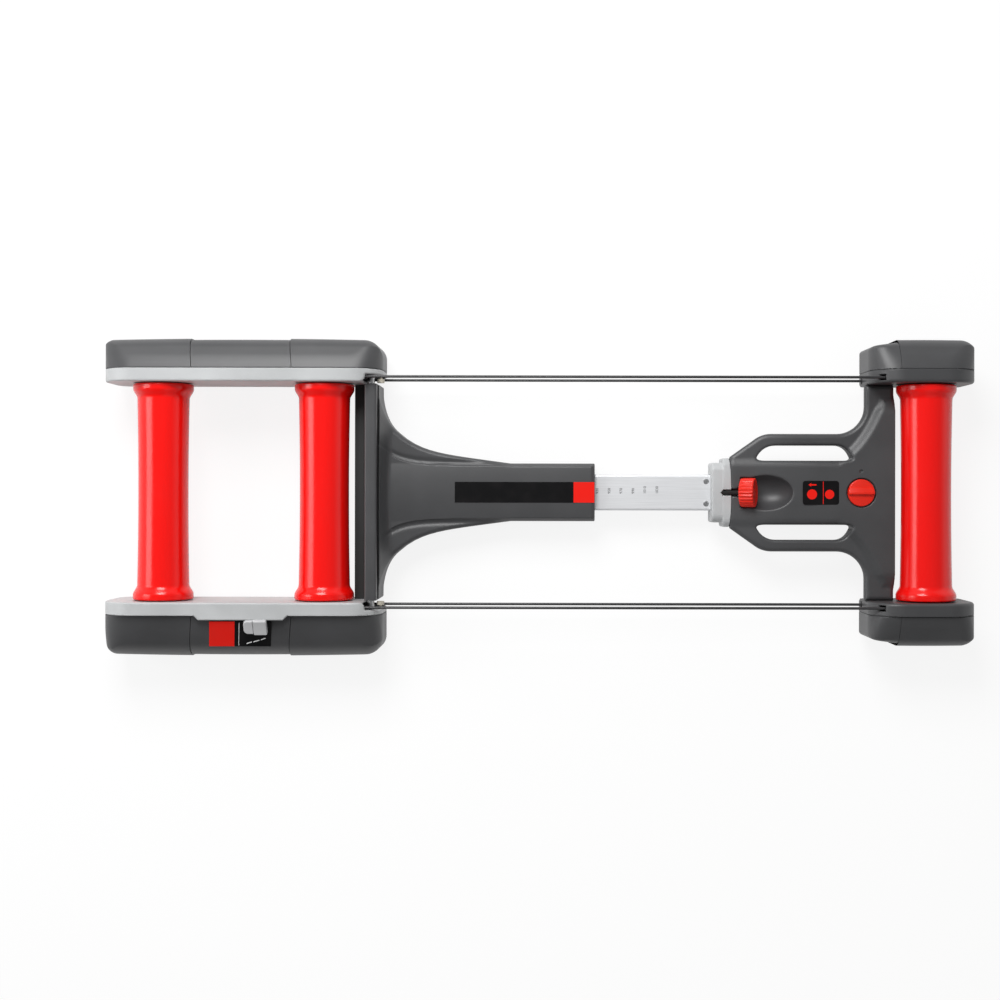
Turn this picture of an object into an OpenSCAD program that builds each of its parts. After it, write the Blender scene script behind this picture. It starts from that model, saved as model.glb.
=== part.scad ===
// Floating bike rollers: three drums, a telescoping beam, and a rear carriage
// that floats along the beam on springs and folds up over it.
// X runs from the rear drums to the front drum, Y is the left side, Z is up, in millimetres.
// The origin is on the floor, under the middle of the whole footprint.
// Inside the modules X is counted from the middle drum axle, the hinge or the front drum axle.

/* [Layout] */
// Height of the three drum axles above the floor
axle_z = 88; // [86:1:96]
// Distance from the rear drum axle to the middle one
drum_gap = 264; // [250:1:290]
// Distance from the middle drum axle to the front one
base_len = 986.5; // [975:0.5:1060]
// Length of each drum
drum_len = 352; // [330:1:380]
// Gap between a drum's end and the side frame
drum_end_gap = 1.5; // [1:0.1:2.5]
// Gap between the front drum and the crossbar behind it
crossbar_gap = 2; // [1.5:0.1:4]

/* [Drums] */
// Diameter of the flange at each end of a drum
flange_d = 97; // [93:1:99]
// Length of the straight flange
flange_len = 11; // [6:1:16]
// Length of the flare from the flange to the barrel
flare_len = 13; // [8:1:20]
// Diameter of the barrel at its ends
barrel_end_d = 83.4; // [80:0.2:88]
// Diameter of the barrel at its middle
barrel_mid_d = 80; // [74:0.5:83]
// Wall of the barrel at its middle
drum_wall = 4; // [3:0.5:6]
// Diameter of the drum axles
axle_d = 8; // [7:0.5:9]
// Outer diameter of the drum bearings
bearing_d = 22; // [20:0.5:26]
// Width of the drum bearings
bearing_w = 7; // [6:0.5:9]

/* [Belts] */
// Diameter of the round belts
belt_d = 4.5; // [3.5:0.1:5]
// Radius of the belt's centre line round a pulley
belt_r = 41; // [36:0.5:43]
// Distance from the side wall's inner face to the belt's plane
belt_inset = 8.9; // [8.5:0.1:9.5]
// Width of a belt pulley
pulley_w = 9; // [8:0.1:9.4]
// Depth of a pulley's groove
groove_depth = 4.5; // [3.5:0.1:5]

/* [Side frames] */
// Height of the side frames' crest above the floor
rail_top = 145; // [143:1:150]
// Clearance of the side frames over the floor
rail_bottom = 8; // [6:0.5:10]
// Length of a side frame behind the rear axle
rail_rear = 91.5; // [85:0.5:104]
// Length of a side frame ahead of the middle axle
rail_front = 97; // [97:1:102]
// Radius of the upper corners, seen from the side
crest_r = 52; // [46:1:54]
// Radius of the lower corners, seen from the side
foot_r = 30; // [20:1:34]
// Thickness of the side walls
side_wall = 3; // [2.5:0.1:3.5]
// Thickness of the rim round a side shell
rim_wall = 4; // [3:0.2:5]
// Width of a side shell from its inner face to the seam
shell_w = 21.5; // [21.5:0.5:24]
// Thickness of the steel side plates
plate_t = 3; // [2:0.5:3]
// Width of the left covers beyond the seam
left_cover_w = 51; // [46:0.5:58]
// Width of the right covers beyond the seam, over the brake
right_cover_w = 70.5; // [67:0.5:76]
// Height over which the left covers round over
left_band = 16; // [10:1:20]
// Height over which the right covers round over
right_band = 30; // [20:1:34]
// Slope of the covers' tops in degrees
cover_slope = 29.6; // [24:0.2:32]
// Wall of the covers
cover_wall = 3; // [2.5:0.5:4]
// Radius of the covers' corners, seen from above
cover_corner_r = 18; // [10:1:24]
// Distance from the middle axle back to the front cover split
split_front = 45.5; // [42:0.5:52]
// Length of the middle covers
middle_cover_len = 162; // [155:1:170]
// How far the splits lean back over the width of a left cover
split_lean = 7; // [0:1:9]
// Length of the flap over the resistance slider
flap_len = 150; // [120:1:152]
// Width of the flap beyond the seam
flap_w = 7; // [5:0.5:7]
// How far the middle covers stand back from the caps
middle_step = 2; // [1:0.5:4]
// Gap at the cover splits
split_gap = 0.4; // [0.2:0.1:1]

/* [Floor wheels] */
// Radius of the floor wheels
wheel_r = 16; // [15:0.5:17]
// Width of the floor wheels
wheel_w = 10; // [8:0.5:11]
// Distance from the rear axle back to the rear floor wheels
wheel_rear = 48; // [40:1:56]
// Distance from the middle axle ahead to the front floor wheels
wheel_front = 48; // [46:0.5:49]
// Diameter of the wheel pins
wheel_pin_d = 6; // [5:0.5:8]

/* [Hinge] */
// Distance from the middle axle ahead to the fold hinge
hinge_ahead = 78; // [77:0.5:80]
// Height of the fold hinge above the drum axles
hinge_rise = 16; // [16:0.5:18]
// Diameter of the hinge pins
hinge_pin_d = 8; // [6:0.5:10]
// How deep the hinge pins go into the hinge beam
hinge_pin_in = 26; // [16:1:40]
// Thickness of the hinge beam along the frame
hinge_beam_t = 20; // [18:0.5:21]
// Distance from the hinge back to the cross tie's front face
tie_back = 16; // [14:0.5:16]
// Thickness of the cross tie along the frame
tie_t = 16; // [10:0.5:16]
// Height of the cross tie
tie_h = 28; // [20:1:28]

/* [Arm] */
// Length of the arm ahead of the hinge
arm_len = 366.5; // [350:0.5:375]
// Width of the arm's straight part
arm_w = 96; // [90:1:110]
// Distance ahead of the hinge where the arm's flare ends
flare_end = 227; // [200:1:240]
// Extra half width of the flare close to the hinge
flare_w = 66.5; // [50:0.5:75]
// Height of the arm's shoulders above the floor
arm_top = 62; // [60:0.5:63]
// Height of the ridge above the shoulders
ridge_h = 4.5; // [2:0.5:5]
// Half width of the ridge
ridge_w = 20; // [18:0.5:26]
// Wall of the arm shell
arm_wall = 4; // [3:0.5:5]
// Length of the arm's label
label_len = 231; // [200:1:240]
// Thickness of the arm's base plate
arm_base_t = 4; // [3:0.5:5]
// Height of the ramp that rises to the hinge beam
ramp_h = 36; // [20:1:38]
// Length of the ramp
ramp_len = 20; // [16:1:36]
// Length of a float spring at rest
spring_len = 53; // [50:0.5:60]
// Outer diameter of a float spring
spring_d = 16; // [10:0.5:20]

/* [Beam] */
// Width of the beam tube
beam_w = 60; // [54:1:66]
// Height of the beam tube
beam_h = 30; // [28:0.5:31]
// Wall of the beam tube
beam_wall = 3; // [2:0.5:3.5]
// Corner radius of the beam tube
beam_corner_r = 4; // [3.5:0.5:6]
// Height of the beam's middle above the floor
beam_z = 37; // [36.5:0.5:38]
// Thickness of the glide and guide rings round the beam
glide_t = 1.5; // [1:0.1:1.8]
// Length of a glide or guide ring
glide_len = 18; // [12:1:24]
// Distance from the springs ahead to the rear glide
glide_gap = 27; // [25:1:40]
// Length of the plug in each end of the beam
plug_len = 14; // [10:1:20]
// Length of the beam inside the front frame
beam_in = 129; // [120:1:135]

/* [Collar and clamp] */
// Length of the grey collar ahead of its flange
collar_len = 17; // [14:1:20]
// Width of the grey collar
collar_w = 99; // [92:1:104]
// Length of the collar's flange
collar_flange_len = 16; // [14:1:18]
// Width of the collar's flange
collar_flange_w = 114; // [108:1:120]
// Height of the collar's top above the floor
collar_top = 75; // [74:0.5:76]
// Diameter of the clamp knob
clamp_d = 48; // [40:1:50]
// Length of the clamp knob
clamp_len = 24; // [18:1:25]
// Tilt of the clamp knob's axis in degrees
clamp_tilt = 19; // [18:0.5:20]
// Height of the clamp knob's middle above the floor
clamp_z = 84; // [83.5:0.5:85]
// Distance from the collar's flange ahead to the clamp knob's middle
clamp_ahead = 25; // [24:0.5:27]
// Number of ribs round the clamp knob
clamp_ribs = 18; // [12:1:24]
// Diameter of the clamp screw
clamp_screw_d = 8; // [6:0.5:8]

/* [Front frame] */
// Length of the front frame from the collar to the crossbar's front face
deck_len = 266; // [260:1:275]
// Width of the deck
deck_w = 104; // [102:1:110]
// Height of the deck's top above the floor
deck_top = 90; // [88:0.5:92]
// Outer width over the two handles
handle_span = 194; // [186:1:204]
// Width of a handle bar
handle_w = 19; // [16:0.5:22]
// Height of the handle bars
handle_h = 30; // [26:1:38]
// Length of the crossbar along the frame
crossbar_t = 48; // [44:1:52]
// How far the crossbar's rear wall leans in towards its foot
crossbar_lean = 8; // [0:1:10]
// Radius of the fillets between the handles and the crossbar
crossbar_fillet = 46; // [36:1:50]
// Length of the scoop round the clamp knob
scoop_len = 94; // [90:1:98]
// Width of the scoop
scoop_w = 60; // [58:1:61]
// Height of the scoop's floor above the floor
scoop_z = 56.5; // [56:0.5:57]
// Diameter of the lock knob
lock_d = 44.6; // [38:0.2:50]
// Depth of the lock knob's recess
lock_recess = 5; // [4:0.5:7]
// Width of the lock knob's grip bar
lock_grip_w = 7.6; // [5:0.2:12]
// Diameter of the lock pin
lock_pin_d = 8; // [6:0.5:10]
// How far the lock pin drops into the beam
lock_drop = 7; // [6:0.5:7.5]
// Length of the selector label
selector_len = 60; // [50:1:64]
// Width of the selector label
selector_w = 39; // [30:1:44]

/* [Front housings] */
// Length of a front housing behind the front axle
housing_rear = 98.5; // [98.5:0.5:106]
// Length of a front housing ahead of the front axle
housing_front = 78; // [74:0.5:88]
// Clearance of the front housings over the floor
housing_bottom = 12; // [10:0.5:16]
// Width of the round front covers beyond the seam
front_cover_w = 50.5; // [46:0.5:58]
// Distance from the front axle back to the cheek's split
cheek_split = 52; // [44:0.5:56]
// Distance from the front axle back to the rear feet
foot_rear = 75; // [70:1:80]
// Distance from the front axle ahead to the front feet
foot_front = 47; // [44:1:50]
// Length of a foot
foot_len = 28; // [20:1:32]
// How far the cheek stands back from the round cover
cheek_step = 3.5; // [2:0.5:6]

/* [Brake] */
// Diameter of the brake disc
disc_d = 100; // [90:1:104]
// Thickness of the brake disc
disc_t = 2; // [1.5:0.1:2.2]
// Distance from the middle axle back to the resistance knob
slider_back = 104; // [98:1:108]
// Travel of the resistance slider each way
slider_travel = 10; // [6:0.5:12]
// Length of the resistance knob along the frame
slider_knob_len = 38; // [28:1:42]
// Width of the resistance knob across the slope
slider_knob_w = 29; // [20:1:30]
// Height of the resistance knob
slider_knob_h = 7; // [5:0.5:7.5]

/* [Clearances] */
// Clearance between bodies that slide past each other
slide_gap = 0.3; // [0.2:0.05:0.4]
// Radial clearance of a running fit
run_gap = 0.05; // [0.02:0.01:0.1]
// Clearance between fixed pieces
fit_gap = 0.2; // [0.1:0.05:0.3]

/* [Hidden] */
$fn = 96;
eps = 0.01;
side_y = drum_len / 2 + drum_end_gap;
belt_y = side_y + belt_inset;
seam_y = side_y + shell_w;
plate_y = seam_y - plate_t;
lip_y = side_y + 12.5;
arm_root = side_y - 24.5;
root_len = 6.5;
root_end = 38;
root_y = arm_half(root_end);
hinge_x = hinge_ahead;
hinge_z = axle_z + hinge_rise;
rail_x0 = -drum_gap - rail_rear;
rail_x1 = rail_front;
hinge_collar_r = hinge_pin_d / 2 + 2;
notch_x = hinge_x - hinge_collar_r - 0.5;
pulley_hub = belt_y - pulley_w / 2;
pulley_end = belt_y + pulley_w / 2;
pulley_r = belt_r - belt_d / 2 - 0.1 + groove_depth;
flange_r = flange_d / 2;
deck_x1 = -flange_r - crossbar_gap;
deck_x0 = deck_x1 - deck_len;
crossbar_x0 = deck_x1 - crossbar_t;
collar_x0 = deck_x0 - collar_flange_len - collar_len;
beam_top = beam_z + beam_h / 2;
beam_bottom = beam_z - beam_h / 2;
beam_x0 = hinge_x + hinge_beam_t / 2 + spring_len + 1;
beam_x1 = base_len + collar_x0 + beam_in;
clamp_x = deck_x0 + clamp_ahead;
lock_x = crossbar_x0 - 7.5;
beam_travel = 170;
lock_hole_x = base_len + lock_x - beam_travel;
spindle_r = 8;
screw_d = 5;
hub_r = 20;
label_t = 0.4;
slope_y = 21.5;
box_mid_x = (rail_x0 + base_len + housing_front) / 2;
box_mid_y = (max(front_cover_w, left_cover_w) - max(front_cover_w, right_cover_w)) / 2;

DARK = [0.22, 0.22, 0.23];
GREY = [0.66, 0.67, 0.68];
RED = [0.86, 0.05, 0.03];
STEEL = [0.72, 0.73, 0.75];
BLACK = [0.05, 0.05, 0.05];
WHITE = [0.9, 0.9, 0.88];

// Puts the model's origin under the middle of the footprint, dx ahead of the middle axle
module place(dx = 0, dz = 0) translate([dx - box_mid_x, -box_mid_y, dz]) children();

// Copies what is drawn on the left to the right too
module both() for (s = [0, 1]) mirror([0, s, 0]) children();

// Keeps the left side, or mirrors it to the right
module side(right) mirror([0, right ? 1 : 0, 0]) children();

module box(x, y, z) translate([x[0], y[0], z[0]]) cube([x[1] - x[0], y[1] - y[0], z[1] - z[0]]);

// Extrudes a shape drawn in X and Z along Y
module along_y(y0, y1) translate([0, y1, 0]) rotate([90, 0, 0]) linear_extrude(y1 - y0) children();

// Extrudes a shape drawn in Y and Z along X
module along_x(x0, x1) translate([x0, 0, 0]) rotate([90, 0, 90]) linear_extrude(x1 - x0) children();

module up(z0, z1) translate([0, 0, z0]) linear_extrude(z1 - z0) children();

module rod_y(r, y0, y1, x = 0, z = 0) translate([x, y0, z]) rotate([-90, 0, 0]) cylinder(r = r, h = y1 - y0);

// Ring about Y, open through its bore
module ring_y(r, bore, y0, y1, x = 0, z = 0) difference() {
    rod_y(r, y0, y1, x, z);
    rod_y(bore, y0 - 1, y1 + 1, x, z);
}

// Points of a bend from p to r with its corner at q
function bend(p, q, r, n = 6) = [for (i = [0:n]) let (t = i / n)
    (1 - t) * (1 - t) * p + 2 * t * (1 - t) * q + t * t * r];

// Points of a round arc about c
function arc(c, r, a0, a1, n = 10) = [for (i = [0:n]) let (a = a0 + (a1 - a0) * i / n)
    c + r * [cos(a), sin(a)]];

// Side view of a frame end between x0 and x1, with its corners rounded, shrunk by cut
module outline(x0, x1, z0, z1, top_r, low_r, cut = 0) {
    a = x0 + cut;
    b = x1 - cut;
    t = z1 - cut;
    f = z0 + cut;
    rt = max(top_r - cut, 1);
    rl = max(low_r - cut, 1);
    polygon(concat(
        arc([a + rl, f + rl], rl, 180, 270, 8), arc([b - rl, f + rl], rl, 270, 360, 8),
        arc([b - rt, t - rt], rt, 0, 90, 14), arc([a + rt, t - rt], rt, 90, 180, 14)
    ));
}

module rail_outline(cut = 0) outline(rail_x0, rail_x1, rail_bottom, rail_top, crest_r, foot_r, cut);

module housing_outline(cut = 0)
    outline(-housing_rear, housing_front, housing_bottom, rail_top, crest_r, foot_r * 2 / 3, cut);

// Rounded rectangle of the beam's section, in Y and Z
module beam_section(grow = 0) {
    w = beam_w / 2 + grow;
    h = beam_h / 2 + grow;
    r = max(beam_corner_r + grow, 0.5);
    translate([0, beam_z]) union() {
        square([2 * w - 2 * r, 2 * h], center = true);
        square([2 * w, 2 * h - 2 * r], center = true);
        for (y = [-1, 1], z = [-1, 1]) translate([y * (w - r), z * (h - r)]) circle(r);
    }
}

// Square-cornered channel round the beam
module beam_channel(grow) translate([0, beam_z])
    square([beam_w + 2 * grow, beam_h + 2 * grow], center = true);

// Cross section of a cover beyond the seam, w wide with a round-over of height band
function cover_section(w, band, z0, z1) = let (
    y1 = w - band / 2.4, z2 = z1 - y1 * tan(cover_slope), z3 = z2 - band
) concat(
    [[0, z0], [w - 8, z0]], bend([w - 8, z0], [w, z0], [w, z0 + 8], 4),
    bend([w, z3], [w, z2 - (w - y1) * tan(cover_slope)], [y1, z2], 8), [[0, z1]]
);

// Solid of a cover, shrunk by cut, between x0 and x1
module cover_solid(x0, x1, w, band, bottom, low_r, cut) intersection() {
    along_x(x0 + cut, x1 - cut) translate([seam_y, 0])
        polygon(cover_section(w - cut, band, bottom + cut, rail_top - cut));
    along_y(seam_y - 1, seam_y + w + 1) outline(x0, x1, bottom, rail_top, crest_r, low_r, cut);
    up(bottom - 1, rail_top + 1) {
        r = cover_corner_r - cut;
        y1 = seam_y + w - cut;
        polygon(concat(
            [[x0 + cut, seam_y - 2]],
            [[x1 - cut, seam_y - 2]],
            arc([x1 - cut - r, y1 - r], r, 0, 90, 6),
            arc([x0 + cut + r, y1 - r], r, 90, 180, 6)
        ));
    }
}

// Hollow cover, open at the seam
module cover(x0, x1, w, band, bottom, low_r) difference() {
    cover_solid(x0, x1, w, band, bottom, low_r, 0);
    cover_solid(x0, x1, w, band, bottom, low_r, cover_wall);
    translate([0, -cover_wall, 0]) intersection() {
        cover_solid(x0, x1, w, band, bottom, low_r, cover_wall);
        box([x0, x1], [seam_y - 1, seam_y + 2 * cover_wall], [0, rail_top]);
    }
}

// Post round a cover screw, from the seam to the cover's outer wall
module screw_post(x, z, w) ring_y(screw_d / 2 + 4, screw_d / 2 + fit_gap, seam_y, seam_y + w - 1, x, z);

module screw_sink(x, z, w) {
    rod_y(screw_d / 2 + fit_gap, seam_y - 1, seam_y + w + 1, x, z);
    rod_y(screw_d, seam_y + w - 4, seam_y + w + 1, x, z);
}

module cover_screw(x, z, w) {
    rod_y(screw_d / 2, seam_y - plate_t, seam_y + w - 3.5, x, z);
    rod_y(screw_d - 0.5, seam_y + w - 4, seam_y + w - 1, x, z);
}

// Places of the screws in each cover: X and Z
function cap_screws() = [[rail_x0 + 60, axle_z - 30], [hinge_x - 30, axle_z - 50]];
function middle_screws() = [for (x = [20, middle_cover_len - 20]) [-split_front - x, axle_z - 58]];
function housing_screws() = [for (x = [-20, 45]) [x, axle_z - 50]];

// Drum with flanges, flares, a slightly waisted barrel and a seat for a bearing in each end
module drum() {
    half = drum_len / 2;
    b = half - flange_len - flare_len;
    function barrel(y) = barrel_mid_d / 2 + (barrel_end_d - barrel_mid_d) / 2 * pow(y / b, 2);
    inner = barrel_mid_d / 2 - drum_wall;
    web = half - bearing_w - 5;
    right_half = concat(
        [for (i = [-6:6]) [barrel(b * i / 6), b * i / 6]],
        bend([barrel(b), b], [barrel(b), b + flare_len * 0.7], [flange_r, b + flare_len], 6),
        [[flange_r, half - 3]], bend([flange_r, half - 3], [flange_r, half], [flange_r - 3, half], 3)
    );
    left_flange = concat(
        bend([flange_r - 3, -half], [flange_r, -half], [flange_r, 3 - half], 3),
        bend([flange_r, -b - flare_len], [barrel(b), -b - flare_len * 0.7], [barrel(b), -b], 6)
    );
    bore = axle_d / 2 + 2;
    seat = bearing_d / 2;
    rotate([90, 0, 0]) rotate_extrude() polygon(concat(
        [[seat, -half]], left_flange, right_half,
        [[seat, half], [seat, half - bearing_w], [bore, half - bearing_w], [bore, web], [inner, web],
         [inner, -web], [bore, -web], [bore, bearing_w - half], [seat, bearing_w - half]]
    ));
}

// Pair of bearings in a drum's ends: inner ring, seal and outer ring in one piece
module bearings() both() difference() {
    rod_y(bearing_d / 2 - eps, drum_len / 2 - bearing_w + eps, drum_len / 2);
    rod_y(axle_d / 2 + run_gap, 0, drum_len);
    difference() {
        rod_y(bearing_d / 2 - 2, drum_len / 2 - 0.6, drum_len);
        rod_y(axle_d / 2 + 2.5, 0, drum_len);
    }
}

// Belt pulley on one end of a drum, with its hub through the side wall
module pulley() {
    bore = axle_d / 2 + 1.5;
    c = belt_y;
    r0 = pulley_r - groove_depth;
    rotate([-90, 0, 0]) rotate_extrude() polygon(concat(
        [[bore, drum_len / 2], [hub_r, drum_len / 2], [hub_r, pulley_hub], [pulley_r, pulley_hub]],
        [for (i = [0:16]) let (a = 180 * i / 16)
            [pulley_r - groove_depth * sin(a), c - (belt_d / 2 + 0.9) * cos(a)]],
        [[pulley_r, pulley_end], [bore, pulley_end]]
    ));
}

// Axle with collars against what turns on it at y
module axle(end_y, collar_y, stop_y) {
    rod_y(axle_d / 2, -end_y, end_y);
    both() rod_y(axle_d / 2 + 2, collar_y, stop_y);
}

module hex_nut() difference() {
    rotate([-90, 0, 0]) cylinder(d = axle_d * 1.85, h = 6, $fn = 6);
    rod_y(axle_d / 2 + 0.02, -1, 7);
}

// Side shell: inner wall, rim and a lip ahead of the hinge notch
module rail_shell(right) side(right) difference() {
    union() {
        along_y(side_y, side_y + side_wall) thick_outline(0);
        along_y(side_y, lip_y) difference() {
            thick_outline(0);
            thick_outline(rim_wall);
        }
        along_y(lip_y, seam_y) difference() {
            rail_outline(0);
            rail_outline(rim_wall);
        }
        if (right) up(rail_top - rim_wall, rail_top) flap_plan(0);
        // Bosses round the wheel pins and the belt guide's pin
        for (x = wheel_places())
            rod_y(wheel_pin_d / 2 + 4, side_y + side_wall - 1, wheel_y(-1) - 0.5, x, wheel_r);
        intersection() {
            rod_y(guide_pin_r + 3, lip_y, seam_y, guide_x(), guide_z());
            along_y(side_y, seam_y) rail_outline();
        }
    }
    rod_y(hub_r + 2, side_y - 1, side_y + side_wall + 1, 0, axle_z);
    rod_y(axle_d / 2 + fit_gap, side_y - 1, side_y + side_wall + 1, -drum_gap, axle_z);
    rod_y(guide_pin_r + eps, side_y, seam_y + 1, guide_x(), guide_z());
    for (x = wheel_places()) {
        rod_y(wheel_pin_d / 2 + eps, side_y - 1, side_y + side_wall + 9, x, wheel_r);
        box([x - wheel_r - 2, x + wheel_r + 2], [wheel_y(-1) - 1, plate_y], [0, wheel_r + 4]);
    }
    for (z = [-1, 1])
        box([notch_x - rim_wall - 1, notch_x + 1], [belt_y - belt_d, belt_y + belt_d],
            [axle_z + z * belt_r - belt_d, axle_z + z * belt_r + belt_d]);
}

// Plan of the flap over the slider, or of its room when grown
module flap_plan(grow) {
    x1 = -split_front - (middle_cover_len - flap_len) / 2 + grow;
    x0 = x1 - flap_len - 2 * grow;
    y1 = seam_y + flap_w + grow;
    polygon([[x0, seam_y - 1], [x1, seam_y - 1], [x1, seam_y], [x1 - flap_w, y1], [x0 + flap_w, y1],
        [x0, seam_y]]);
}

module thick_outline(cut) intersection() {
    rail_outline(cut);
    translate([rail_x0, 0]) square([notch_x - cut - rail_x0, rail_top]);
}

function wheel_places() = [-drum_gap - wheel_rear, wheel_front];

// Inner or outer face of a floor wheel
function wheel_y(end) = (side_y + side_wall + plate_y) / 2 + end * wheel_w / 2;

module rail_plate() difference() {
    along_y(plate_y, seam_y) rail_outline(rim_wall + fit_gap);
    for (x = [-drum_gap, 0]) rod_y(axle_d / 2 + eps, plate_y - 1, seam_y + 1, x, axle_z);
    rod_y(hinge_pin_d / 2 + eps, plate_y - 1, seam_y + 1, hinge_x, hinge_z);
    rod_y(guide_pin_r + 3 + fit_gap, plate_y - 1, seam_y + 1, guide_x(), guide_z());
    for (x = wheel_places()) rod_y(wheel_pin_d / 2 + eps, plate_y - 1, seam_y + 1, x, wheel_r);
    for (p = concat(cap_screws(), middle_screws()))
        rod_y(screw_d / 2 + eps, plate_y - 1, seam_y + 1, p[0], p[1]);
}

// Belt guide at the front end of a side frame
guide_r = 6;
guide_pin_r = 2.5;
function guide_x() = rail_x1 - guide_pin_r - 1;
function guide_z() = hinge_z - 5;

// Window in the right plate where the magnets reach the brake disc
magnet_x = -disc_d / 2;
magnet_h = 28;
magnet_len = 30;
module magnet_window() box([magnet_x - magnet_len / 2 - slider_travel - 1,
    magnet_x + magnet_len / 2 + slider_travel + 1], [plate_y - 1, seam_y + 1],
    [axle_z - magnet_h / 2 - slide_gap, axle_z + magnet_h / 2 + slide_gap]);

module rail_plates() color(STEEL) place() {
    rail_plate();
    side(true) difference() {
        rail_plate();
        magnet_window();
    }
}

module whole_rail_cover(w, band) cover(rail_x0, rail_x1, w, band, rail_bottom, foot_r);

cap_rear_x = -split_front - middle_cover_len;
module rail_caps(right, w, band) color(DARK) place() side(right) difference() {
    union() {
        whole_rail_cover(w, band);
        for (p = cap_screws()) screw_post(p[0], p[1], w);
    }
    middle_room(0);
    for (p = cap_screws()) screw_sink(p[0], p[1], w);
}

// Room between the two leaning splits, shrunk by cut
module middle_room(cut) up(-1, rail_top + 1) {
    reach = right_cover_w + 2;
    lean = split_lean * reach / left_cover_w;
    polygon([
        [cap_rear_x + cut, seam_y - 1], [-split_front - cut, seam_y - 1],
        [-split_front - cut - lean, seam_y + reach], [cap_rear_x + cut - lean, seam_y + reach]
    ]);
}

module middle_cover(w, band) difference() {
    union() {
        intersection() {
            whole_rail_cover(w - middle_step, band);
            middle_room(split_gap);
        }
        for (p = middle_screws()) screw_post(p[0], p[1], w - middle_step);
    }
    for (p = middle_screws()) screw_sink(p[0], p[1], w - middle_step);
}

// Moves to the middle of the slope over the brake, with Z square to the slope
module on_slope() translate([-slider_back, -seam_y - slope_y, rail_top - slope_y * tan(cover_slope)])
    rotate([cover_slope, 0, 0]) children();

stem_len = 16;
stem_w = 8;
module slider_slot(z0, z1) translate([-stem_len / 2 - slider_travel - 1, -stem_w / 2 - slide_gap, z0])
    cube([stem_len + 2 * slider_travel + 2, stem_w + 2 * slide_gap, z1 - z0]);

module left_rail_shell() color(GREY) place() rail_shell(false);
module right_rail_shell() color(GREY) place() rail_shell(true);
module left_rail_caps() rail_caps(false, left_cover_w, left_band);
module right_rail_caps() rail_caps(true, right_cover_w, right_band);
module left_middle_cover() color(DARK) place() middle_cover(left_cover_w, left_band);
module right_middle_cover() color(DARK) place() difference() {
    side(true) middle_cover(right_cover_w, right_band);
    side(true) up(rail_top - rim_wall - fit_gap, rail_top + 1) flap_plan(fit_gap);
    on_slope() slider_slot(-8, 2);
}

module rear_axle() color(STEEL) place(-drum_gap, axle_z)
    axle(seam_y + 7, drum_len / 2 + 0.1, side_y);
module middle_axle() color(STEEL) place(0, axle_z)
    axle(seam_y + 7, pulley_end + (plate_y - pulley_end) * 0.6, plate_y);
module front_axle() color(STEEL) place(base_len, axle_z)
    axle(seam_y + 7, pulley_end + 0.3, plate_y);
module rear_nuts() color(STEEL) place(0, axle_z) both() for (x = [-drum_gap, 0])
    translate([x, seam_y, 0]) hex_nut();
module front_nuts() color(STEEL) place(base_len, axle_z) both() translate([0, seam_y, 0]) hex_nut();

module rear_screws() color(STEEL) place() for (right = [false, true]) side(right) {
    w = right ? right_cover_w : left_cover_w;
    for (p = cap_screws()) cover_screw(p[0], p[1], w);
    for (p = middle_screws()) cover_screw(p[0], p[1], w - middle_step);
}

module hinge_pins() color(STEEL) place(hinge_x, hinge_z) both() {
    rod_y(hinge_pin_d / 2, side_y - 1 - hinge_pin_in, seam_y);
    rod_y(hinge_collar_r, side_y - 0.4, plate_y);
}

module belt_guides() color([0.85, 0.8, 0.68]) place(guide_x(), guide_z()) both() {
    rod_y(guide_r, side_y + 0.5, side_y + 6.5);
    rod_y(guide_pin_r, side_y + 6, seam_y - 1);
}

module cross_tie() color(DARK) place(hinge_x - tie_back - tie_t, 30) difference() {
    box([0, tie_t], [-side_y, side_y], [0, tie_h]);
    box([-1, tie_t - 4], [5 - side_y, side_y - 5], [4, tie_h - 4]);
}

module wheel_pins() color(STEEL) place(0, wheel_r) both() for (x = wheel_places())
    rod_y(wheel_pin_d / 2, side_y + 0.5, seam_y - 0.5, x, 0);

module floor_wheel(right, x) color(BLACK) place() side(right) difference() {
    union() {
        rod_y(wheel_r - 1, wheel_y(-1), wheel_y(1), x, wheel_r);
        rod_y(wheel_r, wheel_y(-1) + 1, wheel_y(1) - 1, x, wheel_r);
    }
    rod_y(wheel_pin_d / 2 + run_gap, 0, 2 * seam_y, x, wheel_r);
}
module left_rear_wheel() floor_wheel(false, wheel_places()[0]);
module right_rear_wheel() floor_wheel(true, wheel_places()[0]);
module left_front_wheel() floor_wheel(false, wheel_places()[1]);
module right_front_wheel() floor_wheel(true, wheel_places()[1]);

module resistance_label() color(RED) place() on_slope() difference() {
    translate([-73, -35, eps]) cube([100, 49.4, label_t]);
    slider_slot(-1, 1);
}

module rear_drum() color(RED) place(-drum_gap, axle_z) drum();
module middle_drum() color(RED) place(0, axle_z) drum();
module front_drum() color(RED) place(base_len, axle_z) drum();
module rear_bearings() color(STEEL) place(-drum_gap, axle_z) bearings();
module middle_bearings() color(STEEL) place(0, axle_z) bearings();
module front_bearings() color(STEEL) place(base_len, axle_z) bearings();
module middle_pulleys() color(BLACK) place(0, axle_z) both() pulley();
module front_pulleys() color(BLACK) place(base_len, axle_z) both() pulley();

// Disc on the outer face of the right pulley
module brake_disc() color(STEEL) place(0, axle_z)
    ring_y(disc_d / 2, axle_d / 2 + 1.5, -pulley_end - disc_t, -pulley_end);

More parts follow.
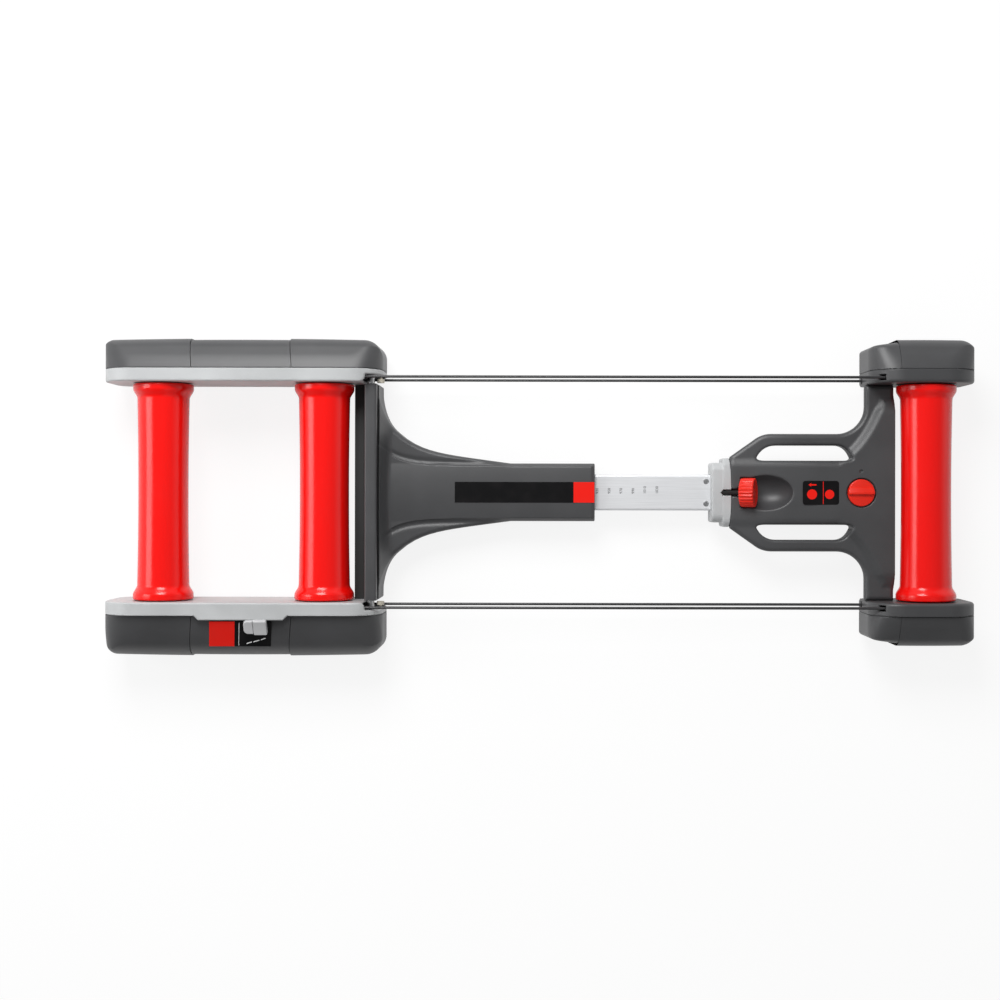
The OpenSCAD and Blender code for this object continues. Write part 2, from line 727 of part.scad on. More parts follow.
module resistance_knob() color(GREY) place() on_slope() difference() {
    union() {
        translate([-slider_knob_len / 2, -slider_knob_w / 2, 2 * label_t])
            cube([slider_knob_len, slider_knob_w, slider_knob_h]);
        translate([-stem_len / 2, -stem_w / 2, -28]) cube([stem_len, stem_w, 29]);
    }
    translate([-slider_knob_len / 2 + 14, -slider_knob_w, slider_knob_h - 1])
        cube([2, 2 * slider_knob_w, 3]);
}

// Carriage behind the right plate, with a magnet head in the plate's window
module magnet_carriage() color(DARK) place() difference() {
    union() {
        box([-slider_back - 14, magnet_x + magnet_len / 2], [-seam_y - 16, -seam_y - slide_gap],
            [axle_z - magnet_h / 2 - 2, axle_z + magnet_h / 2 + 4]);
        box([magnet_x - magnet_len / 2, magnet_x + magnet_len / 2], [-seam_y - 1, -pulley_end - disc_t - 0.6],
            [axle_z - magnet_h / 2, axle_z + magnet_h / 2]);
        // Block that holds the knob's stem
        box([-slider_back - 14, -slider_back + 14], [-seam_y - 16, -seam_y - slide_gap],
            [axle_z, axle_z + magnet_h / 2 + 8]);
    }
    on_slope() translate([-stem_len / 2 - eps, -stem_w / 2 - eps, -28 - eps])
        cube([stem_len + 2 * eps, stem_w + 2 * eps, 40]);
    rod_y(axle_d, -seam_y - 20, -seam_y, 0, axle_z);
}

// Half width of the arm at x ahead of the hinge
function arm_half(x) = let (t = max(0, (flare_end - x) / (flare_end - 25)))
    arm_w / 2 + flare_w * (0.406 * t + 0.594 * pow(t, 5.5));

// Plan of the arm's left half and right half, shrunk by cut
module arm_plan(cut = 0) {
    x0 = hinge_beam_t / 2 + cut;
    x1 = max(x0 + 0.5, hinge_beam_t / 2 + root_len - cut);
    steps = concat([for (i = [1:12]) root_end + (flare_end - root_end) * i / 12], [arm_len - cut]);
    edge = concat(
        [[x0, arm_root - cut]],
        bend([x1, arm_root - cut], [x1 + 1, root_y + 28 - cut], [root_end, root_y - cut], 8),
        [for (x = steps) [x, arm_half(x) - cut]]
    );
    n = len(edge);
    polygon(concat(edge, [for (i = [1:n]) [edge[n - i][0], -edge[n - i][1]]]));
}

// Side view of the arm, shrunk by cut from above
module arm_side(cut = 0) {
    x0 = hinge_beam_t / 2;
    polygon(concat(
        [[x0, arm_z0 - 1], [arm_len + 1, arm_z0 - 1], [arm_len + 1, arm_top - cut]],
        bend([x0 + ramp_len, arm_top - cut], [x0 + max(1, ramp_len * 0.35 - cut), arm_top - cut],
            [x0 + max(0.5, 4.5 - cut), arm_top + ramp_h - cut], 8),
        [[x0, arm_top + ramp_h - cut]]
    ));
}
arm_z0 = beam_bottom - glide_t - 4.5;

module arm_shell() color(DARK) place(hinge_x) difference() {
    union() {
        difference() {
            intersection() {
                up(arm_z0, hinge_z + 10) arm_plan();
                along_y(-side_y, side_y) arm_side();
            }
            intersection() {
                up(arm_z0 - 1, hinge_z + 10) arm_plan(arm_wall);
                along_y(-side_y, side_y) arm_side(arm_wall);
            }
        }
        // Channel walls and roof round the beam
        box([hinge_beam_t / 2, arm_len], [-beam_w / 2 - glide_t - arm_wall, beam_w / 2 + glide_t + arm_wall],
            [arm_z0, arm_top]);
        // Raised ridge
        along_x(hinge_beam_t / 2 + ramp_len - 8, arm_len) polygon([
            [-ridge_w - 4, arm_top - 1], [ridge_w + 4, arm_top - 1], [ridge_w, arm_top + ridge_h],
            [-ridge_w, arm_top + ridge_h]
        ]);
    }
    along_x(hinge_beam_t / 2 - 1, arm_len + 1) beam_channel(glide_t);
    box([hinge_beam_t / 2 - 1, arm_len + 1], [-beam_w / 2 - glide_t, beam_w / 2 + glide_t],
        [arm_z0 - 1, beam_z]);
}

// Base plate under the arm and the hinge beam, with a rib that closes the beam's channel
module arm_base() color(DARK) place(hinge_x) union() {
    up(arm_z0 - arm_base_t, arm_z0) union() {
        arm_plan(fit_gap);
        translate([-hinge_beam_t / 2, 1 - side_y]) square([hinge_beam_t + 1, 2 * side_y - 2]);
    }
    half = beam_w / 2 + glide_t - fit_gap;
    box([hinge_beam_t / 2, arm_len - fit_gap], [-half, half], [arm_z0 - 1, beam_bottom - glide_t]);
}

module hinge_beam() color(DARK) place(hinge_x) difference() {
    y1 = side_y - 1;
    union() {
        box([-hinge_beam_t / 2, hinge_beam_t / 2], [-y1, y1], [arm_z0, hinge_z]);
        rod_y(hinge_beam_t / 2, -y1, y1, 0, hinge_z);
    }
    box([3.5 - hinge_beam_t / 2, hinge_beam_t / 2 - 3.5], [-y1 + hinge_pin_in + 6, y1 - hinge_pin_in - 6],
        [arm_z0 - 1, hinge_z - 2]);
    both() rod_y(hinge_pin_d / 2 + run_gap, y1 - hinge_pin_in - 1, y1 + 1, 0, hinge_z);
}

// Ring that carries the beam, from x to x plus its length
module glide(x) along_x(x, x + glide_len) difference() {
    beam_channel(glide_t - eps);
    beam_section(run_gap + 0.1);
}

module arm_glides() color(WHITE) place(hinge_x) {
    glide(arm_len - 2 - glide_len);
    glide(hinge_beam_t / 2 + spring_len + glide_gap);
}

module arm_label() color(BLACK) place(hinge_x)
    box([arm_len - 1 - label_len, arm_len - 1], [3 - ridge_w, ridge_w - 3],
        [arm_top + ridge_h, arm_top + ridge_h + label_t]);

// The two springs that centre the arm on the beam, drawn as sleeves
module float_springs() color(STEEL) place(hinge_x + hinge_beam_t / 2 + 0.5) for (y = [-1, 1])
    translate([0, y * beam_w / 4, beam_z]) rotate([0, 90, 0]) difference() {
        cylinder(d = spring_d, h = spring_len);
        translate([0, 0, -1]) cylinder(d = spring_d - 5, h = spring_len + 2);
    }

module beam_tube() color([0.85, 0.86, 0.87]) place() difference() {
    along_x(beam_x0, beam_x1) beam_section();
    along_x(beam_x0 - 1, beam_x1 + 1) beam_section(-beam_wall);
    translate([lock_hole_x, 0, beam_z]) cylinder(d = lock_pin_d + 2 * slide_gap, h = beam_h);
    for (y = [-1, 1]) translate([rivet_x, y * rivet_y, beam_z]) cylinder(d = 5, h = beam_h);
}
rivet_x = base_len + collar_x0 - 7;
rivet_y = beam_w * 0.31;

module beam_rivets() color(STEEL) place(rivet_x, beam_top) for (y = [-1, 1]) translate([0, y * rivet_y, 0]) {
    translate([0, 0, -beam_wall - 3]) cylinder(d = 5 - eps, h = beam_wall + 3);
    cylinder(d = 9.6, h = run_gap + 0.05);
}

module beam_plugs() color(BLACK) place() {
    for (x = [beam_x0, beam_x1 - plug_len]) along_x(x + eps, x + plug_len - eps)
        beam_section(-beam_wall - eps);
}

// Tilted axis of the clamp, with Z along it away from the beam
module on_clamp() translate([clamp_x, 0, clamp_z]) rotate([0, 90 - clamp_tilt, 0]) children();

shoe_x1 = deck_x0 - collar_flange_len - 3;
shoe_x0 = shoe_x1 - 11;
// Distance along the clamp's axis from its middle back to the shoe's face
shoe_back = (clamp_x - shoe_x1) / cos(clamp_tilt);

module shoe_side(grow) let (a = clamp_tilt, z0 = beam_top + slide_gap, h = 11 + grow) polygon([
    [shoe_x0 - grow, z0 - (grow > 0 ? 1 : 0)], [shoe_x1 + 4 + grow, z0 - (grow > 0 ? 1 : 0)],
    [shoe_x1 + 4 + grow - h * tan(a), z0 + h], [shoe_x0 - grow, z0 + h]
]);

module clamp_shoe() color(STEEL) place(base_len) difference() {
    along_y(-8, 8) shoe_side(0);
    on_clamp() translate([0, 0, -shoe_back]) cylinder(d = clamp_screw_d + 6, h = 40);
}

module clamp_screw() color(BLACK) place(base_len) on_clamp() translate([0, 0, -shoe_back + 0.3])
    cylinder(d = clamp_screw_d, h = shoe_back - clamp_len / 2 - 0.3);

// Ribbed knob with a conical face
module clamp_knob() color(RED) place(base_len) on_clamp() difference() {
    r = clamp_d / 2;
    translate([0, 0, -clamp_len / 2]) rotate_extrude() polygon([
        [0, 0], [r - 2, 0], [r, 2], [r, clamp_len - 3], [r - 2, clamp_len], [6, clamp_len],
        [6, clamp_len - 1.5], [0, clamp_len - 1.5]
    ]);
    for (i = [1:clamp_ribs]) rotate([0, 0, 360 * i / clamp_ribs])
        translate([r + 0.6, 0, -clamp_len / 2 - 1]) cylinder(d = 4, h = clamp_len + 2, $fn = 24);
}

// Round room that the clamp knob turns in
module clamp_room() on_clamp() translate([0, 0, -clamp_len / 2 - 1]) cylinder(d = clamp_d + 3, h = 40);

module tube_collar() color(GREY) place(base_len) difference() {
    union() {
        along_x(collar_x0, collar_x0 + collar_len) collar_section(collar_w, 0);
        along_x(collar_x0 + collar_len, deck_x0) collar_section(collar_flange_w, 0);
    }
    along_x(collar_x0 - 1, deck_x0 + 1) beam_section(slide_gap);
    along_y(-8 - slide_gap, 8 + slide_gap) shoe_pocket();
    on_clamp() translate([0, 0, -shoe_back]) cylinder(d = clamp_screw_d + 2 * slide_gap, h = 60);
    clamp_room();
}
module shoe_pocket() translate([shoe_x0 - slide_gap, beam_top - 1])
    square([shoe_x1 + 4 + 3 + slide_gap - shoe_x0, 11 + 1 + 1.6 + slide_gap]);

// Section of the collar and the deck's end, w wide, in Y and Z
module collar_section(w, cut) polygon(concat(
    arc([-w / 2 + 6, arm_z0 + 6], 6 - cut, 180, 270, 4), arc([w / 2 - 6, arm_z0 + 6], 6 - cut, 270, 360, 4),
    arc([w / 2 - 14, collar_top - 14], 14 - cut, 0, 90, 6),
    arc([-w / 2 + 14, collar_top - 14], 14 - cut, 90, 180, 6)
));

// Plan of the handles and the crossbar on the left, from the front axle
slot_in_y = deck_w / 2 + 0.8;
handle_y1 = handle_span / 2;
slot_out_y = handle_y1 - handle_w;
module handle_plan() difference() {
    polygon(concat(
        [[deck_x1, -1], [deck_x0, -1], [deck_x0, collar_flange_w / 2 + 5]],
        bend([deck_x0 + 34, handle_y1 - 11.5], [deck_x0 + 48, handle_y1], [deck_x0 + 64, handle_y1], 5),
        arc([crossbar_x0 - crossbar_fillet, handle_y1 + crossbar_fillet], crossbar_fillet, -90, 0, 10),
        [[crossbar_x0, side_y], [deck_x1, side_y]]
    ));
    slot_plan();
}
// Hand slot, longer along its inner edge
module slot_plan() {
    a = deck_x0 + 42;
    b = crossbar_x0 - 23;
    polygon(concat(
        bend([a + 12, slot_in_y], [a - 6, slot_in_y], [a, slot_in_y + 8], 5),
        bend([a, slot_in_y + 8], [a + 10, slot_out_y], [a + 32, slot_out_y], 5),
        bend([b - 25, slot_out_y], [b - 8, slot_out_y], [b, slot_in_y + 8], 5),
        bend([b, slot_in_y + 8], [b + 6, slot_in_y], [b - 12, slot_in_y], 5)
    ));
}

handle_top = deck_top - 8;
crossbar_z0 = handle_top - handle_h - 6;
// Raised part that flares from the deck's side out along the crossbar
module flare_plan() polygon(concat(
    [[crossbar_x0 - 30, 0]], bend([crossbar_x0 - 30, deck_w / 2], [crossbar_x0 + 8, deck_w / 2 + 14],
        [crossbar_x0 + crossbar_t / 2, 146], 8), [[deck_x1, 146], [deck_x1, 0]]
));
module front_frame() color(DARK) place(base_len) difference() {
    union() {
        // Deck with its sloping nose
        along_y(-deck_w / 2, deck_w / 2) polygon([
            [deck_x0, frame_z0], [deck_x1, frame_z0], [deck_x1, deck_top], [deck_x0 + 84, deck_top],
            [deck_x0, collar_top]
        ]);
        both() up(handle_top - handle_h, handle_top) handle_plan();
        along_y(-side_y, side_y) polygon([
            [crossbar_x0, handle_top], [crossbar_x0 + crossbar_lean, crossbar_z0], [deck_x1, crossbar_z0],
            [deck_x1, handle_top]
        ]);
        both() up(handle_top - 1, deck_top) flare_plan();
        // Raised plateau along the front edge
        along_x(deck_x1 - 21, deck_x1) polygon([
            [-150, deck_top - 1], [150, deck_top - 1], [134, deck_top + 2], [-134, deck_top + 2]
        ]);
    }
    along_x(deck_x0 - 1, deck_x1 + 1) beam_channel(glide_t);
    box([deck_x0 - 1, deck_x1 + 1], [-beam_w / 2 - glide_t, beam_w / 2 + glide_t], [0, beam_z]);
    // Hollows from below
    both() box([deck_x0 + 8, deck_x1 - 8], [beam_w / 2 + glide_t + 4, deck_w / 2 - 4],
        [0, collar_top - 8]);
    both() box([crossbar_x0 + crossbar_lean + 4, deck_x1 - 4], [deck_w / 2 + 2, side_y - 4],
        [0, handle_top - 4]);
    scoop();
    clamp_room();
    // Lock knob recess, spindle pocket and pin bore
    translate([lock_x, 0, 0]) {
        translate([0, 0, deck_top - lock_recess]) cylinder(d = lock_d + 1, h = 20);
        translate([0, 0, pin_head_z - lock_drop - 1]) cylinder(r = spindle_r + run_gap, h = 40);
        translate([0, 0, beam_z]) cylinder(d = lock_pin_d + 2 * run_gap, h = 40);
    }
}
frame_z0 = beam_bottom - glide_t;
pin_head_z = deck_top - lock_recess - 11;

// Oval scoop round the clamp knob
module scoop() {
    c = deck_x0 + 5.5 + scoop_len / 2;
    translate([c, 0, scoop_z]) linear_extrude(60)
        polygon([for (i = [0:47]) [scoop_len / 2 * cos(i * 7.5), scoop_w / 2 * sin(i * 7.5)]]);
    along_y(-scoop_w / 3, scoop_w / 3) polygon([
        [deck_x0 - 1, collar_top - 6], [deck_x0 + 14, scoop_z + 6],
        [deck_x0 + 14, deck_top], [deck_x0 - 1, deck_top]
    ]);
}

module front_tray() color(DARK) place(base_len) difference() {
    box([deck_x0, deck_x1], [-deck_w / 2, deck_w / 2], [arm_z0, frame_z0]);
    both() box([deck_x0 + 12, deck_x1 - 12], [6, deck_w / 2 - 20], [0, frame_z0 - 2.5]);
}

module tube_guides() color(WHITE) place(base_len) {
    glide(deck_x0 + 2);
    glide(collar_x0 + beam_in - glide_len - 6);
}

module selector_label() color(BLACK) place(base_len)
    translate([lock_x - lock_d / 2 - 14 - selector_len, -selector_w / 2, deck_top])
    cube([selector_len, selector_w, label_t]);

module lock_knob() color(RED) place(base_len + lock_x, deck_top) {
    translate([0, 0, 0.3 - lock_recess]) cylinder(d = lock_d, h = lock_recess - 1);
    translate([0, 0, pin_head_z + 2.4 - deck_top]) cylinder(r = spindle_r, h = 9);
    intersection() {
        translate([0, 0, -2]) cylinder(d = lock_d - 1, h = 8);
        translate([-lock_d / 2, -lock_grip_w / 2, -2]) cube([lock_d, lock_grip_w, 8]);
    }
}

module lock_pin() color(STEEL) place(base_len + lock_x) {
    translate([0, 0, beam_top + glide_t + 0.5])
        cylinder(d = lock_pin_d, h = pin_head_z - beam_top - glide_t);
    translate([0, 0, pin_head_z]) cylinder(r = spindle_r - 0.3, h = 2);
}

module front_shell(right) color(DARK) place(base_len) side(right) difference() {
    union() {
        along_y(side_y, side_y + side_wall) housing_outline();
        along_y(side_y, seam_y) difference() {
            housing_outline();
            housing_outline(rim_wall);
        }
        intersection() {
            front_cover_form(front_cover_w - cheek_step);
            box([-housing_rear, -cheek_split - split_gap], [seam_y, 2 * seam_y], [0, rail_top + 1]);
        }
    }
    rod_y(hub_r + 2, side_y - 1, side_y + side_wall + 1, 0, axle_z);
    for (z = [-1, 1])
        box([-housing_rear - 1, 0], [belt_y - belt_d, belt_y + belt_d],
            [axle_z + z * belt_r - belt_d, axle_z + z * belt_r + belt_d]);
}
module front_cover_form(w) cover(-housing_rear, housing_front, w, left_band, housing_bottom, foot_r * 2 / 3);

module front_cover(right) color(DARK) place(base_len) side(right) difference() {
    union() {
        intersection() {
            front_cover_form(front_cover_w);
            box([-cheek_split, housing_front], [seam_y, 2 * seam_y], [0, rail_top + 1]);
        }
        for (p = housing_screws()) screw_post(p[0], p[1], front_cover_w);
    }
    for (p = housing_screws()) screw_sink(p[0], p[1], front_cover_w);
}
module left_front_shell() front_shell(false);
module right_front_shell() front_shell(true);
module left_front_cover() front_cover(false);
module right_front_cover() front_cover(true);

module front_screws() color(STEEL) place(base_len) both()
    for (p = housing_screws()) cover_screw(p[0], p[1], front_cover_w);

module front_plates() color(STEEL) place(base_len) both() difference() {
    along_y(plate_y, seam_y) housing_outline(rim_wall + fit_gap);
    rod_y(axle_d / 2 + eps, plate_y - 1, seam_y + 1, 0, axle_z);
    for (p = housing_screws()) rod_y(screw_d / 2 + eps, plate_y - 1, seam_y + 1, p[0], p[1]);
}

module front_feet() color(BLACK) place(base_len) both() for (x = [-foot_rear, foot_front])
    box([x - foot_len / 2, x + foot_len / 2], [side_y + 2, seam_y - 3], [0, housing_bottom]);

// Closed round belt on each side
module belts() color(BLACK) place(0, axle_z) both() translate([0, belt_y, 0]) rotate([90, 0, 0]) {
    translate([base_len, 0, 0]) rotate([0, 0, -90]) belt_turn();
    rotate([0, 0, 90]) belt_turn();
    for (z = [-1, 1]) translate([0, z * belt_r, 0]) rotate([0, 90, 0])
        cylinder(d = belt_d, h = base_len, $fn = 32);
}
module belt_turn() rotate_extrude(angle = 180) translate([belt_r, 0]) circle(d = belt_d, $fn = 32);

front_frame();
front_tray();
left_front_shell();
right_front_shell();
left_front_cover();
right_front_cover();
front_plates();
front_axle();
front_nuts();
front_screws();
front_feet();
tube_collar();
tube_guides();
selector_label();
clamp_shoe();
clamp_knob();
clamp_screw();
lock_knob();
lock_pin();
beam_tube();
beam_plugs();
beam_rivets();
arm_shell();
arm_base();
hinge_beam();
arm_glides();
arm_label();
float_springs();
left_rail_shell();
right_rail_shell();
left_rail_caps();
right_rail_caps();
left_middle_cover();
right_middle_cover();
rail_plates();
rear_axle();
middle_axle();
rear_nuts();
rear_screws();
hinge_pins();
belt_guides();
cross_tie();
wheel_pins();
resistance_label();
rear_drum();
rear_bearings();
middle_drum();
middle_bearings();
middle_pulleys();
brake_disc();
front_drum();
front_bearings();
front_pulleys();
resistance_knob();
magnet_carriage();
left_rear_wheel();
right_rear_wheel();
left_front_wheel();
right_front_wheel();
belts();
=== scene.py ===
"""Looks of the floating bike rollers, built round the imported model.

Lengths in the classes are millimetres. x runs forward from the middle drum's
axle, y runs left from the rollers' centre line, and z runs up from the floor.
Shapes are distances: functions of x, y and z that are negative inside.
"""

import logging
import math
from dataclasses import dataclass
from enum import Enum
from typing import Any, Callable, Sequence, Union

import bmesh
import bpy
import numpy as np
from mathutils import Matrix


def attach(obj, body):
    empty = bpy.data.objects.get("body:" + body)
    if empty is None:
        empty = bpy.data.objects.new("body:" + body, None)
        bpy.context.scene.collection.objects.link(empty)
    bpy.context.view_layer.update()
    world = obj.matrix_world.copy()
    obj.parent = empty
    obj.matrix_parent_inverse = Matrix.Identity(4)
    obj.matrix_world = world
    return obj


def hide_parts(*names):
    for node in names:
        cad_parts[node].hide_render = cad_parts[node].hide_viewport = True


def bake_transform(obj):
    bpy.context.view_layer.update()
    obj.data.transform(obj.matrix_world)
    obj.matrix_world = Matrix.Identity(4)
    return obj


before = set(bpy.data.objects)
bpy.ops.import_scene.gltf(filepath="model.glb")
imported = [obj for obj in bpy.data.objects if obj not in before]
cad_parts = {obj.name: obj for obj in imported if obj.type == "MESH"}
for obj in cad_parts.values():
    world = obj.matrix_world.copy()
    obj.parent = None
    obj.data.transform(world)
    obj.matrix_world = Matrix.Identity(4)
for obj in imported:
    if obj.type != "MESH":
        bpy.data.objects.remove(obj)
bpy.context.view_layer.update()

Array = np.ndarray
Distance = Callable[[Array, Array, Array], Array]
Point = tuple[float, float, float]
Pair = Sequence[float]
Path = list[tuple[float, float]]
Shape = tuple[Array, list]
Mesh = tuple[Array, Any, Any]
log = logging.getLogger("rollers")

MM = 1000.0
ORIGIN_X = -354.5
ORIGIN_Y = 9.75
AXLE_Z = 88.0
FRONT_X = 986.5
SIDE_Y = 177.5
SEAM_Y = 199.0
BELT_Y = 186.4
CREST_Z = 145.0
TUBE_Z = 37.0
HINGE = (78.0, 104.0)
COVER_SLOPE = math.radians(29.6)
SHARP = math.radians(35)
NARROW = 0.01
TINY = 1e-9


class Side(Enum):
    """Left or right of the rider; the value is y's sign."""

    LEFT = 1
    RIGHT = -1

    @property
    def word(self) -> str:
        """The side's name, as the CAD nodes spell it."""
        return self.name.lower()


class Turn(Enum):
    """Axis that a lathe turns about."""

    ACROSS = "y"
    UP = "z"


# Distances


def rounded(a: Array, b: Array, radius: float) -> Array:
    """Intersection of two distances with a rounded edge.

    Args:
        a: First distance.
        b: Second distance.
        radius: Radius of the edge.

    Returns:
        The distance of what both hold.
    """
    if radius <= 0:
        return np.maximum(a, b)
    past = np.hypot(np.maximum(a + radius, 0), np.maximum(b + radius, 0))
    return np.minimum(np.maximum(a, b), -radius) + past


def joined(a: Array, b: Array, radius: float = 0.0) -> Array:
    """Union of two distances with a fillet of that radius."""
    return -rounded(-a, -b, radius)


def cut(a: Array, b: Array, radius: float = 0.0) -> Array:
    """What a holds and b doesn't, with a rounded edge."""
    return rounded(a, -b, radius)


def between(v: Array, low: float, high: float) -> Array:
    """Distance to a slab across one axis."""
    return np.maximum(low - v, v - high)


def plate(u: Array, v: Array, low: Pair, high: Pair, radii: Pair) -> Array:
    """Distance to a flat rectangle whose corners have their own radii.

    Args:
        u: First coordinate.
        v: Second coordinate.
        low: Lowest corner.
        high: Highest corner.
        radii: Radii of the corners low-low, high-low, high-high and low-high.

    Returns:
        The distance.
    """
    cu, cv = (low[0] + high[0]) / 2, (low[1] + high[1]) / 2
    du, dv = u - cu, v - cv
    rear, front = (np.where(dv < 0, radii[i], radii[3 - i]) for i in (0, 1))
    r = np.where(du < 0, rear, front)
    qu = np.abs(du) - (high[0] - low[0]) / 2 + r
    qv = np.abs(dv) - (high[1] - low[1]) / 2 + r
    return np.minimum(np.maximum(qu, qv), 0) + np.hypot(np.maximum(qu, 0), np.maximum(qv, 0)) - r


def polygon(u: Array, v: Array, corners: Sequence[Pair]) -> Array:
    """Distance to a flat polygon.

    Args:
        u: First coordinate.
        v: Second coordinate.
        corners: The polygon's corners in order.

    Returns:
        The distance, negative inside.
    """
    p = np.array(corners, float)
    near = np.full(np.broadcast(u, v).shape, np.inf)
    inside = np.zeros(near.shape, bool)
    for a, b in zip(p, np.roll(p, -1, axis=0)):
        e = b - a
        if e @ e < TINY:
            continue
        wu, wv = u - a[0], v - a[1]
        t = np.clip((wu * e[0] + wv * e[1]) / (e @ e), 0, 1)
        near = np.minimum(near, (wu - t * e[0]) ** 2 + (wv - t * e[1]) ** 2)
        crosses = (a[1] > v) != (b[1] > v)
        inside ^= crosses & (wu < wv * e[0] / (e[1] if e[1] else TINY))
    return np.where(inside, -1, 1) * np.sqrt(near)


def rod(u: Array, v: Array, cu: float, cv: float, radius: float) -> Array:
    """Distance to a round rod or bore seen end on."""
    return np.hypot(u - cu, v - cv) - radius


# Outlines


def bend(start: Pair, corner: Pair, end: Pair, steps: int) -> Path:
    """Rounds a corner.

    Args:
        start: Where the bend starts.
        corner: The corner that it rounds.
        end: Where it ends.
        steps: Number of steps between its points.

    Returns:
        The points of the bend.
    """
    p, q, r = (np.array(c, float) for c in (start, corner, end))
    along = (i / steps for i in range(steps + 1))
    return [tuple((1 - t) ** 2 * p + 2 * t * (1 - t) * q + t * t * r) for t in along]


def arc(centre: Pair, radius: float, start: float, end: float, steps: int) -> Path:
    """Points of a round arc between two angles in degrees."""
    angles = (math.radians(start + (end - start) * i / steps) for i in range(steps + 1))
    return [(centre[0] + radius * math.cos(a), centre[1] + radius * math.sin(a)) for a in angles]


def round_box(low: Pair, high: Pair, radius: float) -> Path:
    """Outline of a rectangle with round corners.

    Args:
        low: Its lowest corner.
        high: Its highest corner.
        radius: Radius of the corners.

    Returns:
        The points, counter-clockwise from the highest corner.
    """
    x0, y0, x1, y1 = low[0] + radius, low[1] + radius, high[0] - radius, high[1] - radius
    centres = ((x1, y1), (x0, y1), (x0, y0), (x1, y0))
    return [p for i, c in enumerate(centres) for p in arc(c, radius, 90 * i, 90 * i + 90, 5)]


# Pieces


def to_frame(points: Array) -> Array:
    """Points in millimetres from the middle axle, as metres in the CAD frame."""
    return (np.asarray(points, float) + [ORIGIN_X, ORIGIN_Y, 0]) / MM


def weld(mesh: bpy.types.Mesh, gap: float = 1e-6) -> None:
    """Merges doubled vertices and points every face outwards.

    Args:
        mesh: The mesh that is changed.
        gap: How close doubled vertices are, in metres.
    """
    shape = bmesh.new()
    shape.from_mesh(mesh)
    bmesh.ops.remove_doubles(shape, verts=shape.verts, dist=gap)
    bmesh.ops.recalc_face_normals(shape, faces=shape.faces)
    shape.to_mesh(mesh)
    shape.free()


def piece(name: str, mesh: Sequence[Any], finish: "Finish", raw: bool = False) -> bpy.types.Object:
    """Makes a piece from a mesh in millimetres.

    Args:
        name: The piece's name.
        mesh: Vertices, faces and perhaps normals, one for each vertex or a list of those at
            each face's corners. A mesh without normals is welded and shaded by angle.
        finish: What the piece is made of.
        raw: Whether the mesh stays unwelded.

    Returns:
        The new object.
    """
    points, faces, normals = (*mesh, None)[:3]
    data = bpy.data.meshes.new(name)
    data.from_pydata(to_frame(points).tolist(), [], [list(map(int, f)) for f in faces])
    data.update()
    if normals is None and not raw:
        weld(data)
    data.shade_smooth()
    if normals is None:
        data.set_sharp_from_angle(angle=SHARP)
    elif isinstance(normals, list):
        data.normals_split_custom_set(np.concatenate(normals).tolist())
    else:
        data.normals_split_custom_set_from_vertices(normals.tolist())
    data.materials.append(finish.material())
    made = bpy.data.objects.new(name, data)
    bpy.context.scene.collection.objects.link(made)
    return made


def settle(made: bpy.types.Object, body: str, *nodes: str) -> None:
    """Puts a piece on its body and reports it.

    Args:
        made: The piece.
        body: The CAD body it moves with.
        nodes: CAD nodes that it stands for.
    """
    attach(made, body)
    if nodes:
        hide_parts(*nodes)
    log.info("%s rides on %s, %d faces", made.name, body, len(made.data.polygons))


def put(name: str, mesh: Sequence[Any], finish: "Finish", body: str, *nodes: str) -> None:
    """Makes a piece and settles it on its body, for the nodes that it stands for."""
    settle(piece(name, mesh, finish), body, *nodes)


def put_beside(
    side: Side, name: str, mesh: Mesh, finish: "Finish", body: str, node: str
) -> None:
    """Puts a left-hand mesh on one side, with that side's word before its names."""
    put(f"{side.word}_{name}", mirrored(mesh, side), finish, body, f"{side.word}_{node}")


def stretch(
    made: bpy.types.Object, bodies: Sequence[str], ends: Sequence[Point], node: str
) -> None:
    """Bakes a piece in place and hides the node that it stands for; it is not set up to bend.

    Args:
        made: The piece.
        bodies: The bodies that it lies between, named in the log.
        ends: Where the bend starts and ends. Not used.
        node: CAD node that the piece stands for.
    """
    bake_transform(made)
    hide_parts(node)
    log.info("%s bends between %s and %s", made.name, *bodies)


# Meshes


def slope_at(distance: Distance, points: Array, reach: float) -> Array:
    """Finds which way a distance grows.

    Args:
        distance: The shape.
        points: Where to look.
        reach: How far to each side it is sampled.

    Returns:
        The gradient at each point.
    """
    sides = []
    for axis in range(3):
        d = np.eye(3)[axis] * reach
        sides.append((distance(*(points + d).T) - distance(*(points - d).T)) / (2 * reach))
    return np.stack(sides, axis=1)


def normals_at(distance: Distance, points: Array) -> Array:
    """Outward unit normals of a distance's surface."""
    g = slope_at(distance, points, 0.25)
    return g / np.maximum(np.linalg.norm(g, axis=1, keepdims=True), TINY)


def crossings(grid: Array, at: Array) -> Array:
    """Finds the middle of each cell's crossings with the surface.

    Args:
        grid: The distance at the corners of the cells.
        at: Index of each cell that the surface passes through.

    Returns:
        The middles, in cells from each cell's lowest corner.
    """
    total, hits = np.zeros((len(at), 3)), np.zeros(len(at))
    for axis in range(3):
        step = np.eye(3, dtype=int)[axis]
        others = [a for a in range(3) if a != axis]
        for i, j in ((0, 0), (0, 1), (1, 0), (1, 1)):
            corner = np.zeros(3, int)
            corner[others] = i, j
            p, q = at + corner, at + corner + step
            fp, fq = grid[tuple(p.T)], grid[tuple(q.T)]
            hit = (fp < 0) != (fq < 0)
            t = np.where(hit, fp / np.where(hit, fp - fq, 1), 0)
            total += hit[:, None] * (corner + t[:, None] * step)
            hits += hit
    return total / hits[:, None]


